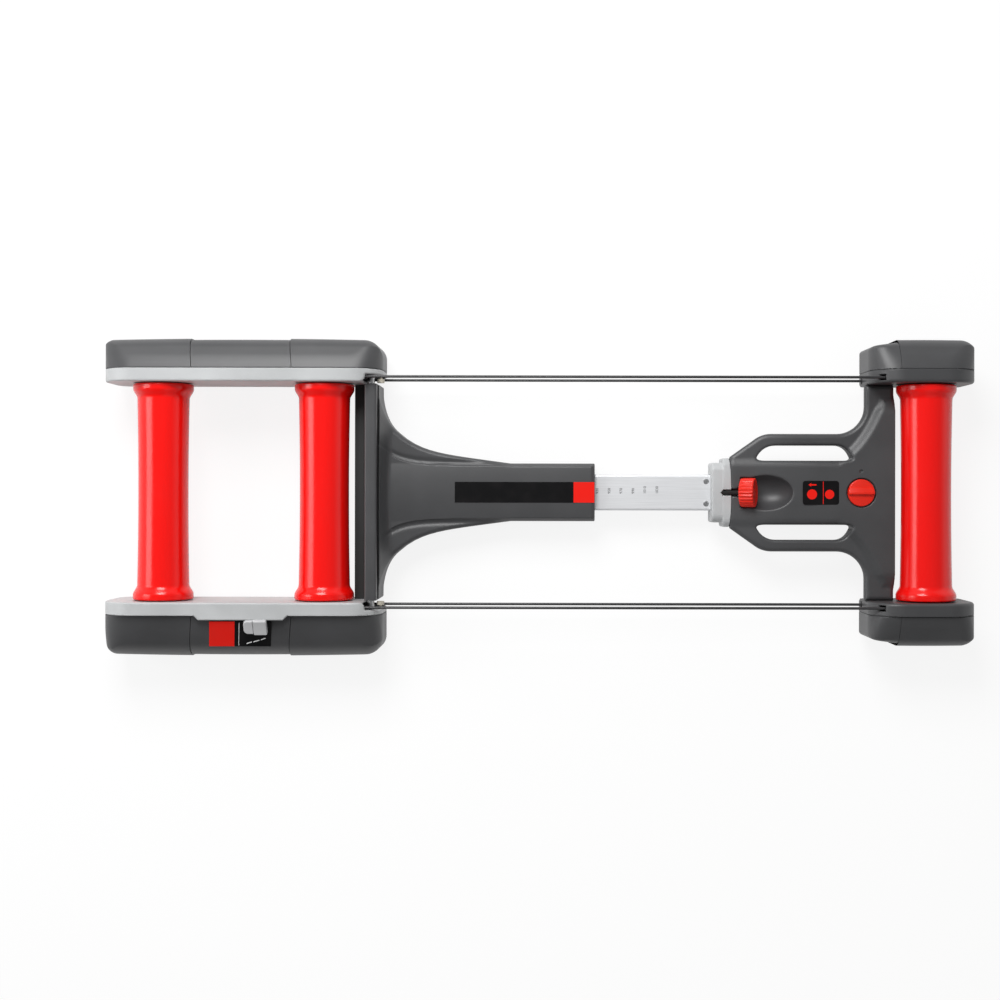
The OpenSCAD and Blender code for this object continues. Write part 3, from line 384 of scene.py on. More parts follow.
def quads_between(inside: Array, index: Array) -> Array:
    """Joins the cells round each edge that the surface crosses.

    Args:
        inside: Which corners of the cells lie inside.
        index: Number of each cell's vertex.

    Returns:
        The quads.
    """
    quads = []
    for axis in range(3):
        e1, e2 = (axis + 1) % 3, (axis + 2) % 3
        lower, upper = [slice(1, -1)] * 3, [slice(1, -1)] * 3
        lower[axis], upper[axis] = slice(0, -1), slice(1, None)
        a, b = inside[tuple(lower)], inside[tuple(upper)]
        d1, d2 = np.eye(3, dtype=int)[e1], np.eye(3, dtype=int)[e2]
        for mask, order in ((a & ~b, 1), (b & ~a, -1)):
            p = np.argwhere(mask) + d1 + d2
            ring = [index[tuple((p - s).T)] for s in (d1 + d2, d2, 0 * d1, d1)]
            quads.append(np.stack(ring[::order], axis=1))
    return np.concatenate(quads)


def skin(distance: Distance, low: Point, high: Point, cell: float) -> Mesh:
    """Meshes the surface where a distance is nought.

    Args:
        distance: The shape, called with x, y and z in millimetres.
        low: Lowest corner of the space that is searched.
        high: Highest corner.
        cell: Size of the mesh's cells.

    Returns:
        Vertices, quads and the vertices' normals.
    """
    start = np.array(low, float) - 1.5 * cell
    size = np.ceil((np.array(high) - start) / cell).astype(int) + 3
    x, y, z = (start[i] + cell * np.arange(size[i]) for i in range(3))
    field = distance(x[:, None, None], y[None, :, None], z[None, None, :])
    grid = np.broadcast_to(field, size).astype(np.float32)
    inside = grid < 0
    ends = (slice(0, -1), slice(1, None))
    count = sum(inside[i, j, k].astype(np.int8) for i in ends for j in ends for k in ends)
    active = (count > 0) & (count < 8)
    index = np.full(active.shape, -1, np.int64)
    at = np.argwhere(active)
    index[active] = np.arange(len(at))
    points = start + cell * (at + crossings(grid, at))
    for _ in range(4):
        g = slope_at(distance, points, 0.05)
        move = -g * (distance(*points.T) / np.maximum((g * g).sum(1), 0.2))[:, None]
        length = np.linalg.norm(move, axis=1, keepdims=True)
        points = points + move * np.minimum(1, 0.5 * cell / np.maximum(length, TINY))
    return points, quads_between(inside, index), normals_at(distance, points)


def sliced(mesh: Mesh, planes: Sequence[tuple[Point, Point]], distance: Distance) -> Mesh:
    """Cuts a closed mesh with planes and closes the cuts.

    Args:
        mesh: Vertices, faces and normals.
        planes: A point on each plane and the direction of what goes.
        distance: The shape that the mesh came from.

    Returns:
        Vertices, faces and the normals at each face's corners.
    """
    whole = bpy.data.meshes.new("whole")
    whole.from_pydata(mesh[0].tolist(), [], mesh[1].tolist())
    shape = bmesh.new()
    shape.from_mesh(whole)
    bpy.data.meshes.remove(whole)
    for at, facing in planes:
        found = bmesh.ops.bisect_plane(
            shape, geom=shape.verts[:] + shape.edges[:] + shape.faces[:], dist=1e-4,
            plane_co=at, plane_no=facing, clear_outer=True,
        )
        rim = [e for e in found["geom_cut"] if isinstance(e, bmesh.types.BMEdge)]
        bmesh.ops.holes_fill(shape, edges=rim, sides=0)
    shape.verts.index_update()
    shape.normal_update()
    points = np.array([v.co[:] for v in shape.verts])
    faces = [[v.index for v in f.verts] for f in shape.faces]
    flat = [np.array(f.normal) for f in shape.faces]
    shape.free()
    smooth = normals_at(distance, points)
    ways = [np.array(facing) / np.linalg.norm(facing) for _, facing in planes]
    corners = [
        np.tile(n, (len(f), 1)) if any(n @ w > 0.9999 for w in ways) else smooth[f]
        for f, n in zip(faces, flat)
    ]
    return points, faces, corners


def mirrored(mesh: Mesh, side: Side) -> Mesh:
    """Turns a left-hand mesh into its right-hand twin.

    Args:
        mesh: The left-hand mesh.
        side: The side that it is for; the left mesh stays as it is.

    Returns:
        The mesh for that side.
    """
    if side is Side.LEFT:
        return mesh
    points, faces, normals = mesh
    flip = np.array([1, -1, 1])
    corners = isinstance(normals, list)
    turned = [n[::-1] * flip for n in normals] if corners else normals * flip
    return points * flip, [list(f)[::-1] for f in faces], turned


def lathe(profile: Sequence[Pair], centre: Point, turn: Turn, segments: int = 96) -> Shape:
    """Turns a profile about an axis.

    Args:
        profile: Radius and height of each ring; a closed outline or one that ends on the axis.
        centre: Where the axis and height nought meet.
        turn: Which way the axis points.
        segments: Number of steps round.

    Returns:
        Vertices and faces.
    """
    ring = np.arange(segments) * 2 * math.pi / segments
    r, h = (np.array([p[i] for p in profile])[:, None] + 0 * ring for i in (0, 1))
    u, v = r * np.cos(ring), r * np.sin(ring)
    axes = (u, h, -v) if turn is Turn.ACROSS else (u, v, h)
    points = np.stack(axes, axis=2).reshape(-1, 3) + centre
    n, faces = len(profile), []
    closed = profile[0][0] > NARROW and profile[-1][0] > NARROW
    for i in range(n if closed else n - 1):
        k = (i + 1) % n
        for j in range(segments):
            m = (j + 1) % segments
            quad = [i * segments + j, i * segments + m, k * segments + m, k * segments + j]
            if profile[i][0] <= NARROW:
                quad = [quad[0], quad[2], quad[3]]
            elif profile[k][0] <= NARROW:
                quad = quad[:3]
            faces.append(quad)
    return points, faces


def tube(path: Sequence[Point], radius: float, segments: int = 12) -> Shape:
    """Sweeps a round section along a path and closes its ends.

    Args:
        path: Points of the centre line.
        radius: Radius of the section.
        segments: Number of sides.

    Returns:
        Vertices and faces.
    """
    p = np.array(path, float)
    along = np.gradient(p, axis=0)
    along /= np.linalg.norm(along, axis=1, keepdims=True)
    out = np.cross(along[0], (0.0, 1.0, 0.0) if abs(along[0][1]) < 0.9 else (1.0, 0.0, 0.0))
    angles = (np.arange(segments) * 2 * math.pi / segments)[:, None]
    rows = []
    for centre, t in zip(p, along):
        out = out - (out @ t) * t
        out /= np.linalg.norm(out)
        rows.append(centre + radius * (np.cos(angles) * out + np.sin(angles) * np.cross(t, out)))
    faces = []
    for start in range(0, (len(p) - 1) * segments, segments):
        for j in range(segments):
            a, b = start + j, start + (j + 1) % segments
            faces.append([a, b, b + segments, a + segments])
    last = (len(p) - 1) * segments
    faces += [list(range(segments))[::-1], [last + j for j in range(segments)]]
    return np.concatenate(rows), faces


def gathered(parts: Sequence[Shape]) -> Shape:
    """Puts several meshes into one.

    Args:
        parts: The meshes.

    Returns:
        Vertices and faces of them all.
    """
    faces, start = [], 0
    for points, loops in parts:
        faces += [[v + start for v in loop] for loop in loops]
        start += len(points)
    return np.concatenate([p for p, _ in parts]), faces


def slab(outline: Sequence[Pair], low: float, high: float) -> Shape:
    """Raises a flat outline.

    Args:
        outline: Its corners in order.
        low: Lower height.
        high: Upper height.

    Returns:
        Vertices and faces.
    """
    n = len(outline)
    points = [(u, v, h) for h in (low, high) for u, v in outline]
    sides = [[i, (i + 1) % n, n + (i + 1) % n, n + i] for i in range(n)]
    return np.array(points), [list(range(n))[::-1], list(range(n, 2 * n))] + sides


# Node trees


class Value:
    """A node's output socket that does sums."""

    def __init__(self, nodes: "Nodes", socket: bpy.types.NodeSocket) -> None:
        """Wraps a socket of that node tree."""
        self.nodes = nodes
        self.socket = socket

    def sum_with(self, operation: str, *terms: Any) -> "Value":
        """Adds a Math node of that operation on numbers or values, and gives its result."""
        return self.nodes.add("ShaderNodeMath", {"operation": operation}, dict(enumerate(terms)))[0]

    def __add__(self, other: Any) -> "Value":
        """Sum."""
        return self.sum_with("ADD", self, other)

    def __radd__(self, other: Any) -> "Value":
        """Sum with a number first."""
        return self.sum_with("ADD", other, self)

    def __sub__(self, other: Any) -> "Value":
        """Difference."""
        return self.sum_with("SUBTRACT", self, other)

    def __rsub__(self, other: Any) -> "Value":
        """Difference from a number."""
        return self.sum_with("SUBTRACT", other, self)

    def __mul__(self, other: Any) -> "Value":
        """Product."""
        return self.sum_with("MULTIPLY", self, other)

    def __rmul__(self, other: Any) -> "Value":
        """Product with a number first."""
        return self.sum_with("MULTIPLY", other, self)

    def __gt__(self, other: Any) -> "Value":
        """1 where this is more, else 0."""
        return self.sum_with("GREATER_THAN", self, other)

    def __abs__(self) -> "Value":
        """Size without its sign."""
        return self.sum_with("ABSOLUTE", self)

    def within(self, low: float, high: float) -> "Value":
        """How far this has come from low to high, from 0 to 1."""
        settings = {"clamp": True, "interpolation_type": "SMOOTHSTEP"}
        return self.nodes.add("ShaderNodeMapRange", settings, {0: self, 1: low, 2: high})[0]


class Outputs:
    """A node's outputs, by number or name."""

    def __init__(self, nodes: "Nodes", node: bpy.types.Node) -> None:
        """Keeps the node and its tree."""
        self.nodes = nodes
        self.node = node

    def __getitem__(self, key: Union[int, str]) -> Value:
        """One output."""
        return Value(self.nodes, self.node.outputs[key])


class Nodes:
    """Builds one material's or world's node tree."""

    def __init__(self, tree: bpy.types.NodeTree) -> None:
        """Empties the tree and starts on it."""
        self.tree = tree
        tree.nodes.clear()

    def add(
        self, kind: str, settings: Union[dict, None] = None, inputs: Union[dict, None] = None
    ) -> Outputs:
        """Adds a node.

        Args:
            kind: The node's type.
            settings: Its properties, set first.
            inputs: Numbers, colours or values for its sockets, by number or name.

        Returns:
            Its outputs.
        """
        node = self.tree.nodes.new(kind)
        for key, value in (settings or {}).items():
            setattr(node, key, value)
        for key, value in (inputs or {}).items():
            if isinstance(value, Value):
                self.tree.links.new(value.socket, node.inputs[key])
            else:
                node.inputs[key].default_value = value
        return Outputs(self, node)

    def place(self) -> Outputs:
        """Splits the point's place into x, y and z.

        Returns:
            The three, in millimetres from the CAD origin.
        """
        at = self.add("ShaderNodeTexCoord")["Object"]
        scaled = self.add("ShaderNodeVectorMath", {"operation": "SCALE"}, {0: at, "Scale": MM})[0]
        return self.add("ShaderNodeSeparateXYZ", None, {0: scaled})

    def noise(
        self, scale: float, detail: float = 2.0, stretch: Point = (1.0, 1.0, 1.0),
        roughness: float = 0.5,
    ) -> Value:
        """Makes noise from 0 to 1.

        Args:
            scale: Grains in a metre.
            detail: Finer layers.
            stretch: Scale of each axis.
            roughness: Share of the finer layers.

        Returns:
            The noise.
        """
        at = self.add("ShaderNodeTexCoord")["Object"]
        moved = self.add("ShaderNodeMapping", None, {"Vector": at, "Scale": stretch})[0]
        inputs = {"Vector": moved, "Scale": scale, "Detail": detail, "Roughness": roughness}
        return self.add("ShaderNodeTexNoise", None, inputs)[0]

    def mix(self, mask: Any, first: Any, second: Any) -> Value:
        """Colour between first and second."""
        inputs = {0: mask, 6: rgba(first), 7: rgba(second)}
        return self.add("ShaderNodeMix", {"data_type": "RGBA"}, inputs)[2]

    def blended(self, share: Any, first: Value, second: Value) -> Value:
        """Shader between first and second."""
        return self.add("ShaderNodeMixShader", None, {0: share, 1: first, 2: second})[0]

    def glow(self, kind: str, strength: Any) -> Value:
        """White light of that kind of node."""
        return self.add(kind, None, {"Color": (1, 1, 1, 1), "Strength": strength})[0]

    def bump(
        self, height: Value, depth: float, strength: float = 1.0, below: Union[Value, None] = None
    ) -> Value:
        """Makes the normal of a height pattern.

        Args:
            height: Pattern from 0 to 1.
            depth: Its depth in millimetres.
            strength: Share of the bump that is used.
            below: Another bump under it.

        Returns:
            The normal.
        """
        inputs = {"Height": height, "Distance": depth / MM, "Strength": strength}
        if below is not None:
            inputs["Normal"] = below
        return self.add("ShaderNodeBump", None, inputs)[0]

    def surface(self, **sockets: Any) -> None:
        """Adds the Principled shader, its sockets named with underscores, and the output.

        Args:
            sockets: Numbers, colours or values for the shader's sockets.
        """
        named = {k.replace("_", " "): v for k, v in sockets.items()}
        shader = self.add("ShaderNodeBsdfPrincipled", None, named)[0]
        self.add("ShaderNodeOutputMaterial", None, {0: shader})


# Finishes

Colour = tuple[float, float, float]
MADE: dict[str, bpy.types.Material] = {}


def rgba(colour: Any) -> Any:
    """A colour with its fourth number, or a value as it is."""
    return colour if isinstance(colour, Value) else (*colour[:3], 1.0)


def shade(colour: Colour, factor: float, lift: float = 0.0) -> Colour:
    """A colour made darker or lighter."""
    return tuple(min(c * factor + lift, 1) for c in colour)


@dataclass(frozen=True)
class Finish:
    """What a piece is made of; each kind draws its own nodes."""

    name: str
    slot: str
    colour: Colour

    def material(self) -> bpy.types.Material:
        """Makes the Blender material, once.

        Returns:
            The material.
        """
        if self.name not in MADE:
            made = bpy.data.materials.new(self.name)
            made.use_nodes = True
            self.draw(Nodes(made.node_tree))
            MADE[self.name] = made
        return MADE[self.name]

    def draw(self, nodes: Nodes) -> None:
        """Draws the nodes."""
        raise NotImplementedError


@dataclass(frozen=True)
class MouldedPlastic(Finish):
    """Textured injection-moulded plastic."""

    roughness: float = 0.5
    grain: float = 0.03
    grain_size: float = 0.9

    def draw(self, nodes: Nodes) -> None:
        """Draws fine spark-eroded grain, faint cloudiness and rubbed spots.

        Args:
            nodes: The material's tree.
        """
        grain = nodes.noise(MM / self.grain_size, 2.0)
        cloud = nodes.noise(9.0, 3.0)
        rubbed = nodes.noise(38.0, 4.0, (1, 1, 1), 0.62).within(0.58, 0.78)
        dark, light = shade(self.colour, 0.9), shade(self.colour, 1.12, 0.002)
        base = nodes.mix(cloud.within(0.3, 0.7), dark, light)
        base = nodes.mix(grain.within(0.35, 0.75) * 0.25, base, shade(self.colour, 1.35, 0.004))
        nodes.surface(
            Base_Color=base,
            Roughness=self.roughness + (grain - 0.5) * 0.12 - rubbed * 0.06,
            Specular_IOR_Level=0.5,
            Normal=nodes.bump(grain, self.grain),
        )


@dataclass(frozen=True)
class GlossPlastic(Finish):
    """Glossy moulded plastic with a soft flow in its surface."""

    roughness: float = 0.16
    coat: float = 0.3

    def draw(self, nodes: Nodes) -> None:
        """Draws faint flow marks, fine scratches and a clear coat.

        Args:
            nodes: The material's tree.
        """
        flow = nodes.noise(22.0, 2.0, (1, 0.5, 1))
        dust = nodes.noise(900.0, 1.0)
        scratch = nodes.noise(160.0, 3.0, (6, 0.4, 6)).within(0.6, 0.75)
        nodes.surface(
            Base_Color=nodes.mix(flow.within(0.3, 0.7), shade(self.colour, 0.93), self.colour),
            Roughness=self.roughness + flow * 0.05 + scratch * 0.05,
            Specular_IOR_Level=0.35,
            Coat_Weight=self.coat,
            Coat_Roughness=0.06,
            Normal=nodes.bump(dust, 0.004, below=nodes.bump(flow, 0.03)),
        )


@dataclass(frozen=True)
class DrumShell(Finish):
    """Red drum, turned and polished, with rings where tyres have run."""

    def draw(self, nodes: Nodes) -> None:
        """Draws turning rings, a duller band where the tyre runs, and a clear coat.

        Args:
            nodes: The material's tree.
        """
        y = nodes.place()[1]
        rings = nodes.noise(1.0, 3.0, (1, 700, 1))
        middle = 1 - abs(y - ORIGIN_Y).within(20, 62)
        run = middle * nodes.noise(3.0, 4.0, (2, 60, 2)).within(0.35, 0.65)
        nodes.surface(
            Base_Color=nodes.mix(run * 0.12, self.colour, shade(self.colour, 0.9, 0.002)),
            Roughness=0.2 + run * 0.05 + rings * 0.03,
            Specular_IOR_Level=0.35,
            Coat_Weight=0.12,
            Coat_Roughness=0.08,
            Normal=nodes.bump(rings, 0.0015, 0.5),
        )


@dataclass(frozen=True)
class BrushedMetal(Finish):
    """Metal brushed along x, or turned when stretch says so."""

    roughness: float = 0.3
    stretch: Point = (1.5, 120.0, 120.0)
    metallic: float = 1.0

    def draw(self, nodes: Nodes) -> None:
        """Draws fine brush lines and faint smudges.

        Args:
            nodes: The material's tree.
        """
        lines = nodes.noise(9.0, 4.0, self.stretch, 0.7)
        smudge = nodes.noise(14.0, 3.0).within(0.4, 0.8)
        nodes.surface(
            Base_Color=nodes.mix(lines.within(0.2, 0.8), shade(self.colour, 0.86), self.colour),
            Metallic=self.metallic,
            Roughness=self.roughness + (lines - 0.5) * 0.16 + smudge * 0.05,
            Normal=nodes.bump(lines, 0.01),
        )


@dataclass(frozen=True)
class Rubber(Finish):
    """Matt black rubber."""

    roughness: float = 0.6

    def draw(self, nodes: Nodes) -> None:
        """Draws a dusty grain.

        Args:
            nodes: The material's tree.
        """
        grain = nodes.noise(1400.0, 2.0)
        dust = nodes.noise(60.0, 4.0).within(0.5, 0.8)
        nodes.surface(
            Base_Color=nodes.mix(dust * 0.4, self.colour, shade(self.colour, 1, 0.03)),
            Roughness=self.roughness + grain * 0.15,
            Normal=nodes.bump(grain, 0.02),
        )


@dataclass(frozen=True)
class PrintedFilm(Finish):
    """Printed plastic film: one colour up to an x, another beyond it."""

    second: Union[Colour, None] = None
    change_x: float = 0.0

    def draw(self, nodes: Nodes) -> None:
        """Draws the printed areas under a fine satin film.

        Args:
            nodes: The material's tree.
        """
        x = nodes.place()[0]
        grain = nodes.noise(1500.0, 1.0)
        second = self.second or self.colour
        base = nodes.mix(x > self.change_x + ORIGIN_X, self.colour, second)
        dust = nodes.noise(30.0, 3.0).within(0.35, 0.8)
        nodes.surface(
            Base_Color=nodes.mix(dust * 0.04, base, (0.12, 0.1, 0.1)),
            Roughness=0.5 + grain * 0.08,
            Specular_IOR_Level=0.12,
            Normal=nodes.bump(grain, 0.004),
        )


BLACK_PRINT: Colour = (0.003, 0.003, 0.0035)
RED_PRINT: Colour = (0.82, 0.012, 0.006)

DARK = MouldedPlastic("dark_plastic", "dark_plastic", (0.052, 0.0525, 0.055), 0.42)
DARK_INNER = MouldedPlastic("dark_inner_plastic", "dark_plastic", (0.045, 0.046, 0.048), 0.55)
GREY = MouldedPlastic("grey_plastic", "grey_plastic", (0.44, 0.45, 0.455), 0.42, 0.015)
PALE_GREY = MouldedPlastic("pale_grey_plastic", "grey_plastic", (0.5, 0.5, 0.51), 0.4, 0.015)
BLACK = MouldedPlastic("black_nylon", "black_plastic", (0.02, 0.02, 0.02), 0.5, 0.01)
WHITE = MouldedPlastic("white_nylon", "white_plastic", (0.72, 0.72, 0.7), 0.5, 0.01)
BEIGE = MouldedPlastic("beige_nylon", "beige_plastic", (0.46, 0.43, 0.36), 0.45, 0.01)
INK = MouldedPlastic("ink", "black_label", (0.02, 0.02, 0.022), 0.5, 0.002)
PALE_INK = MouldedPlastic("pale_ink", "white_plastic", (0.8, 0.8, 0.8), 0.5, 0.002)
RED_DRUM = DrumShell("red_drum", "red_drum", (0.86, 0.003, 0.0015))
RED = GlossPlastic("red_plastic", "red_plastic", (0.76, 0.016, 0.004), 0.36, 0.08)
ALUMINIUM = BrushedMetal("aluminium", "aluminium", (0.84, 0.85, 0.87), 0.36, metallic=0.3)
STEEL = BrushedMetal("steel", "steel", (0.56, 0.57, 0.58), 0.28, (30.0, 30.0, 30.0))
RUBBER = Rubber("rubber", "rubber", (0.022, 0.022, 0.023))
BELT = Rubber("belt_rubber", "rubber", (0.03, 0.03, 0.032), 0.28)
BLACK_FILM = PrintedFilm("black_film", "black_label", BLACK_PRINT)
RED_FILM = PrintedFilm("red_film", "red_label", RED_PRINT)
ARM_FILM = PrintedFilm("arm_film", "black_label", BLACK_PRINT, RED_PRINT, 409.0)


# Sub-assemblies


@dataclass
class Studio:
    """Camera, lights and a white floor."""

    lens: float = 52.94
    height: float = 2.5
    shift: tuple[float, float] = (-0.0403, -0.0077)
    floor: float = 12.0
    ambient: float = 0.34
    backdrop: float = 1.02

    def build(self) -> None:
        """Makes the camera, the lights, the world and the floor."""
        self.camera()
        self.lamp("key", (-0.5, 1.6, 1.9), 1.2, 56.0)
        self.lamp("fill", (0.9, -1.7, 2.4), 2.4, 4.0)
        self.lamp("edge", (-2.2, 0.2, 1.3), 1.0, 14.0)
        self.world()
        self.ground()

    def camera(self) -> None:
        """A camera straight above the rollers, as in the photograph."""
        data = bpy.data.cameras.new("camera")
        data.sensor_width, data.lens = 36.0, self.lens
        data.shift_x, data.shift_y = self.shift
        data.clip_end = 50.0
        camera = bpy.data.objects.new("camera", data)
        camera.location = (-0.0005, ORIGIN_Y / MM, self.height)
        camera.rotation_euler = (0.0, 0.0, 0.0017)
        bpy.context.scene.collection.objects.link(camera)
        bpy.context.scene.camera = camera

    def lamp(self, name: str, at: Point, size: float, power: float) -> None:
        """Adds a square soft light aimed at the rollers' middle.

        Args:
            name: The lamp's name.
            at: Where it is, in metres.
            size: Length of its side.
            power: Its power in watts.
        """
        data = bpy.data.lights.new(name, "AREA")
        data.size, data.energy = size, power
        lamp = bpy.data.objects.new(name, data)
        lamp.location = at
        lamp.rotation_mode = "QUATERNION"
        lamp.rotation_quaternion = (-lamp.location).to_track_quat("-Z", "Y")
        bpy.context.scene.collection.objects.link(lamp)

    def world(self) -> None:
        """A pale surround: white to the camera, and walls that fade upward in reflections."""
        scene = bpy.context.scene
        scene.view_settings.view_transform = "Standard"
        world = bpy.data.worlds.new("surround")
        world.use_nodes = True
        scene.world = world
        nodes = Nodes(world.node_tree)
        way = nodes.add("ShaderNodeTexCoord")["Generated"]
        parts = nodes.add("ShaderNodeSeparateXYZ", None, {0: way})
        upward, leftward = parts[2].within(0.15, 0.7), parts[1].within(-0.8, 0.1)
        walls = (1 - upward * 0.72) * (0.35 + leftward * 0.65)
        strengths = (1.0, self.ambient, walls)
        shown, lit, room = (nodes.glow("ShaderNodeBackground", s) for s in strengths)
        ray = nodes.add("ShaderNodeLightPath")
        both = nodes.blended(ray["Is Glossy Ray"], lit, room)
        both = nodes.blended(ray["Is Camera Ray"], both, shown)
        nodes.add("ShaderNodeOutputWorld", None, {0: both})

    def ground(self) -> None:
        """A white floor that keeps the shadow."""
        half = self.floor / 2
        corners = [(-half, -half, 0), (half, -half, 0), (half, half, 0), (-half, half, 0)]
        mesh = bpy.data.meshes.new("floor")
        mesh.from_pydata(corners, [], [(0, 1, 2, 3)])
        made = bpy.data.objects.new("floor", mesh)
        bpy.context.scene.collection.objects.link(made)
        material = bpy.data.materials.new("floor")
        material.use_nodes = True
        nodes = Nodes(material.node_tree)
        white = nodes.mix(nodes.noise(3.0, 2.0), (0.9, 0.9, 0.9), (0.93, 0.93, 0.93))
        paper = nodes.add("ShaderNodeBsdfDiffuse", None, {"Color": white})[0]
        glow = nodes.glow("ShaderNodeEmission", self.backdrop)
        ray = nodes.add("ShaderNodeLightPath")
        seen = ray["Is Camera Ray"] * 0.84 + ray["Is Glossy Ray"] * 0.5
        both = nodes.blended(seen, paper, glow)
        nodes.add("ShaderNodeOutputMaterial", None, {0: both})
        mesh.materials.append(material)


@dataclass
class Drum:
    """One waisted drum and its node."""

    place: str
    x: float
    half: float = 176.0
    flange: float = 48.5
    flange_len: float = 8.0
    flare: float = 17.0
    end_r: float = 41.7
    middle_r: float = 40.0

    def build(self) -> None:
        """Lathes recessed ends, beaded flanges, flares and a slightly waisted barrel."""
        b, end, flange = self.half - self.flange_len - self.flare, self.half, self.flange
        waist = self.end_r - self.middle_r
        barrel = [(self.middle_r + waist * (y / b) ** 2, y) for y in np.linspace(0, b, 15)]
        rise = flange - self.end_r
        flare = []
        for i in range(1, 15):
            swell = (0.5 - 0.5 * math.cos(math.pi * i / 14)) ** 1.15
            flare.append((self.end_r + rise * swell, b + self.flare * i / 14))
        rim = [(flange, b + self.flare + 1.6)]
        rim += bend((flange, end - 3), (flange, end), (flange - 3, end), 8)
        face = [(33, end), (32, end - 1.2), (15, end - 1.2), (14, end), (11, end)]
        face += [(11, end - 7), (6, end - 7)]
        right = barrel + flare + rim + face
        profile = [(r, -y) for r, y in right[:0:-1]] + right
        mesh = lathe(profile, (self.x, 0, AXLE_Z), Turn.ACROSS, 128)
        node = f"{self.place}_drum"
        put(f"{node}_shell", mesh, RED_DRUM, f"{self.place}_roller", node)


@dataclass(frozen=True)
class Rail:
    """Outline and wall of a side frame or a front housing, seen from the side."""

    x0: float
    x1: float
    bottom: float
    foot: float
    crest: float = 52.0
    rim: float = 4.0
    web: float = 3.0
    bore: float = 22.0

    def side(self, x: Array, z: Array) -> Array:
        """Distance to the outline."""
        radii = (self.foot, self.foot, self.crest, self.crest)
        return plate(x, z, (self.x0, self.bottom), (self.x1, CREST_Z), radii)

    def hollowed(self, body: Array, x: Array, y: Array, z: Array, axle_x: float) -> Array:
        """Cuts the room inside the web and the rim, and the bore round the axle.

        Args:
            body: Distance to the shell.
            x: Along the rollers.
            y: Across them.
            z: Height.
            axle_x: Where the axle is.

        Returns:
            The distance with both cut out.
        """
        room = np.maximum(self.side(x, z) + self.rim, SIDE_Y + self.web - y)
        bore = np.maximum(rod(x, z, axle_x, AXLE_Z, self.bore), y - SIDE_Y - self.rim)
        return cut(cut(body, room, 0.5), bore)


@dataclass(frozen=True)
class CoverForm:
    """Sloping cover outside a rail, with a bowed outer edge."""

    rail: Rail
    width: float
    band: float
    rear_r: float
    front_r: float
    bow: float = 3.0
    wall: float = 5.0

    def cover(self, x: Array, y: Array, z: Array, hollow: bool = False) -> Array:
        """Distance to the cover, which ends at the seam.

        Args:
            x: Along the rollers.
            y: Across them.
            z: Height.
            hollow: Whether it is a shell, open at the seam.

        Returns:
            The distance.
        """
        rail = self.rail
        middle, half = (rail.x0 + rail.x1) / 2, (rail.x1 - rail.x0) / 2
        bowed = y - SEAM_Y - self.width + self.bow * ((x - middle) / half) ** 2
        top = (z - CREST_Z) * math.cos(COVER_SLOPE) + (y - SEAM_Y) * math.sin(COVER_SLOPE)
        plan = rounded(rounded(bowed, rail.x0 - x, self.rear_r), x - rail.x1, self.front_r)
        side = rounded(rail.side(x, z), bowed, 9.0)
        body = np.maximum(rounded(plan, top, self.band), rounded(side, top, self.band))
        if hollow:
            body = cut(body, body + self.wall)
        return np.maximum(body, SEAM_Y - y)

    def sunk(self, body: Array, x: Array, y: Array, z: Array, screws: Path) -> Array:
        """Cuts the screws' sinks into the cover.

        Args:
            body: Distance to the cover.
            x: Along the rollers.
            y: Across them.
            z: Height.
            screws: Where the screws are, along and up.

        Returns:
            The distance with its sinks.
        """
        floor = SEAM_Y + self.width - 6.5
        for sx, sz in screws:
            body = cut(body, np.maximum(rod(x, z, sx, sz, 5.4), floor - y), 0.6)
        return body


CAP_SCREWS = [(-295.5, 58.0), (48.0, 38.0)]
MIDDLE_SCREWS = [(-65.5, 30.0), (-187.5, 30.0)]
HOUSING_SCREWS = [(FRONT_X - 20.0, 38.0), (FRONT_X + 45.0, 38.0)]


@dataclass
class CoverScrews:
    """Socket screws that hold the covers, each at the bottom of its sink."""

    place: str
    body: str
    rows: list[tuple[float, Path]]

    def build(self) -> None:
        """Turns every screw: the socket, the rounded head and the shank."""
        profile = [(0.01, -1.6), (2.0, -1.6), (2.0, 0.0), (3.7, 0.0), (4.4, -0.7)]
        profile += [(4.4, -3.0), (2.4, -3.0), (2.4, -8.0), (0.01, -8.0)]
        parts = []
        for face, places in self.rows:
            side = 1 if face > 0 else -1
            row = [(r, side * (h + abs(face) - 3.6)) for r, h in profile]
            parts += [lathe(row, (x, 0, z), Turn.ACROSS, 24) for x, z in places]
        name, node = f"{self.place}_cover_screws", f"{self.place}_screws"
        put(name, gathered(parts), STEEL, self.body, node)


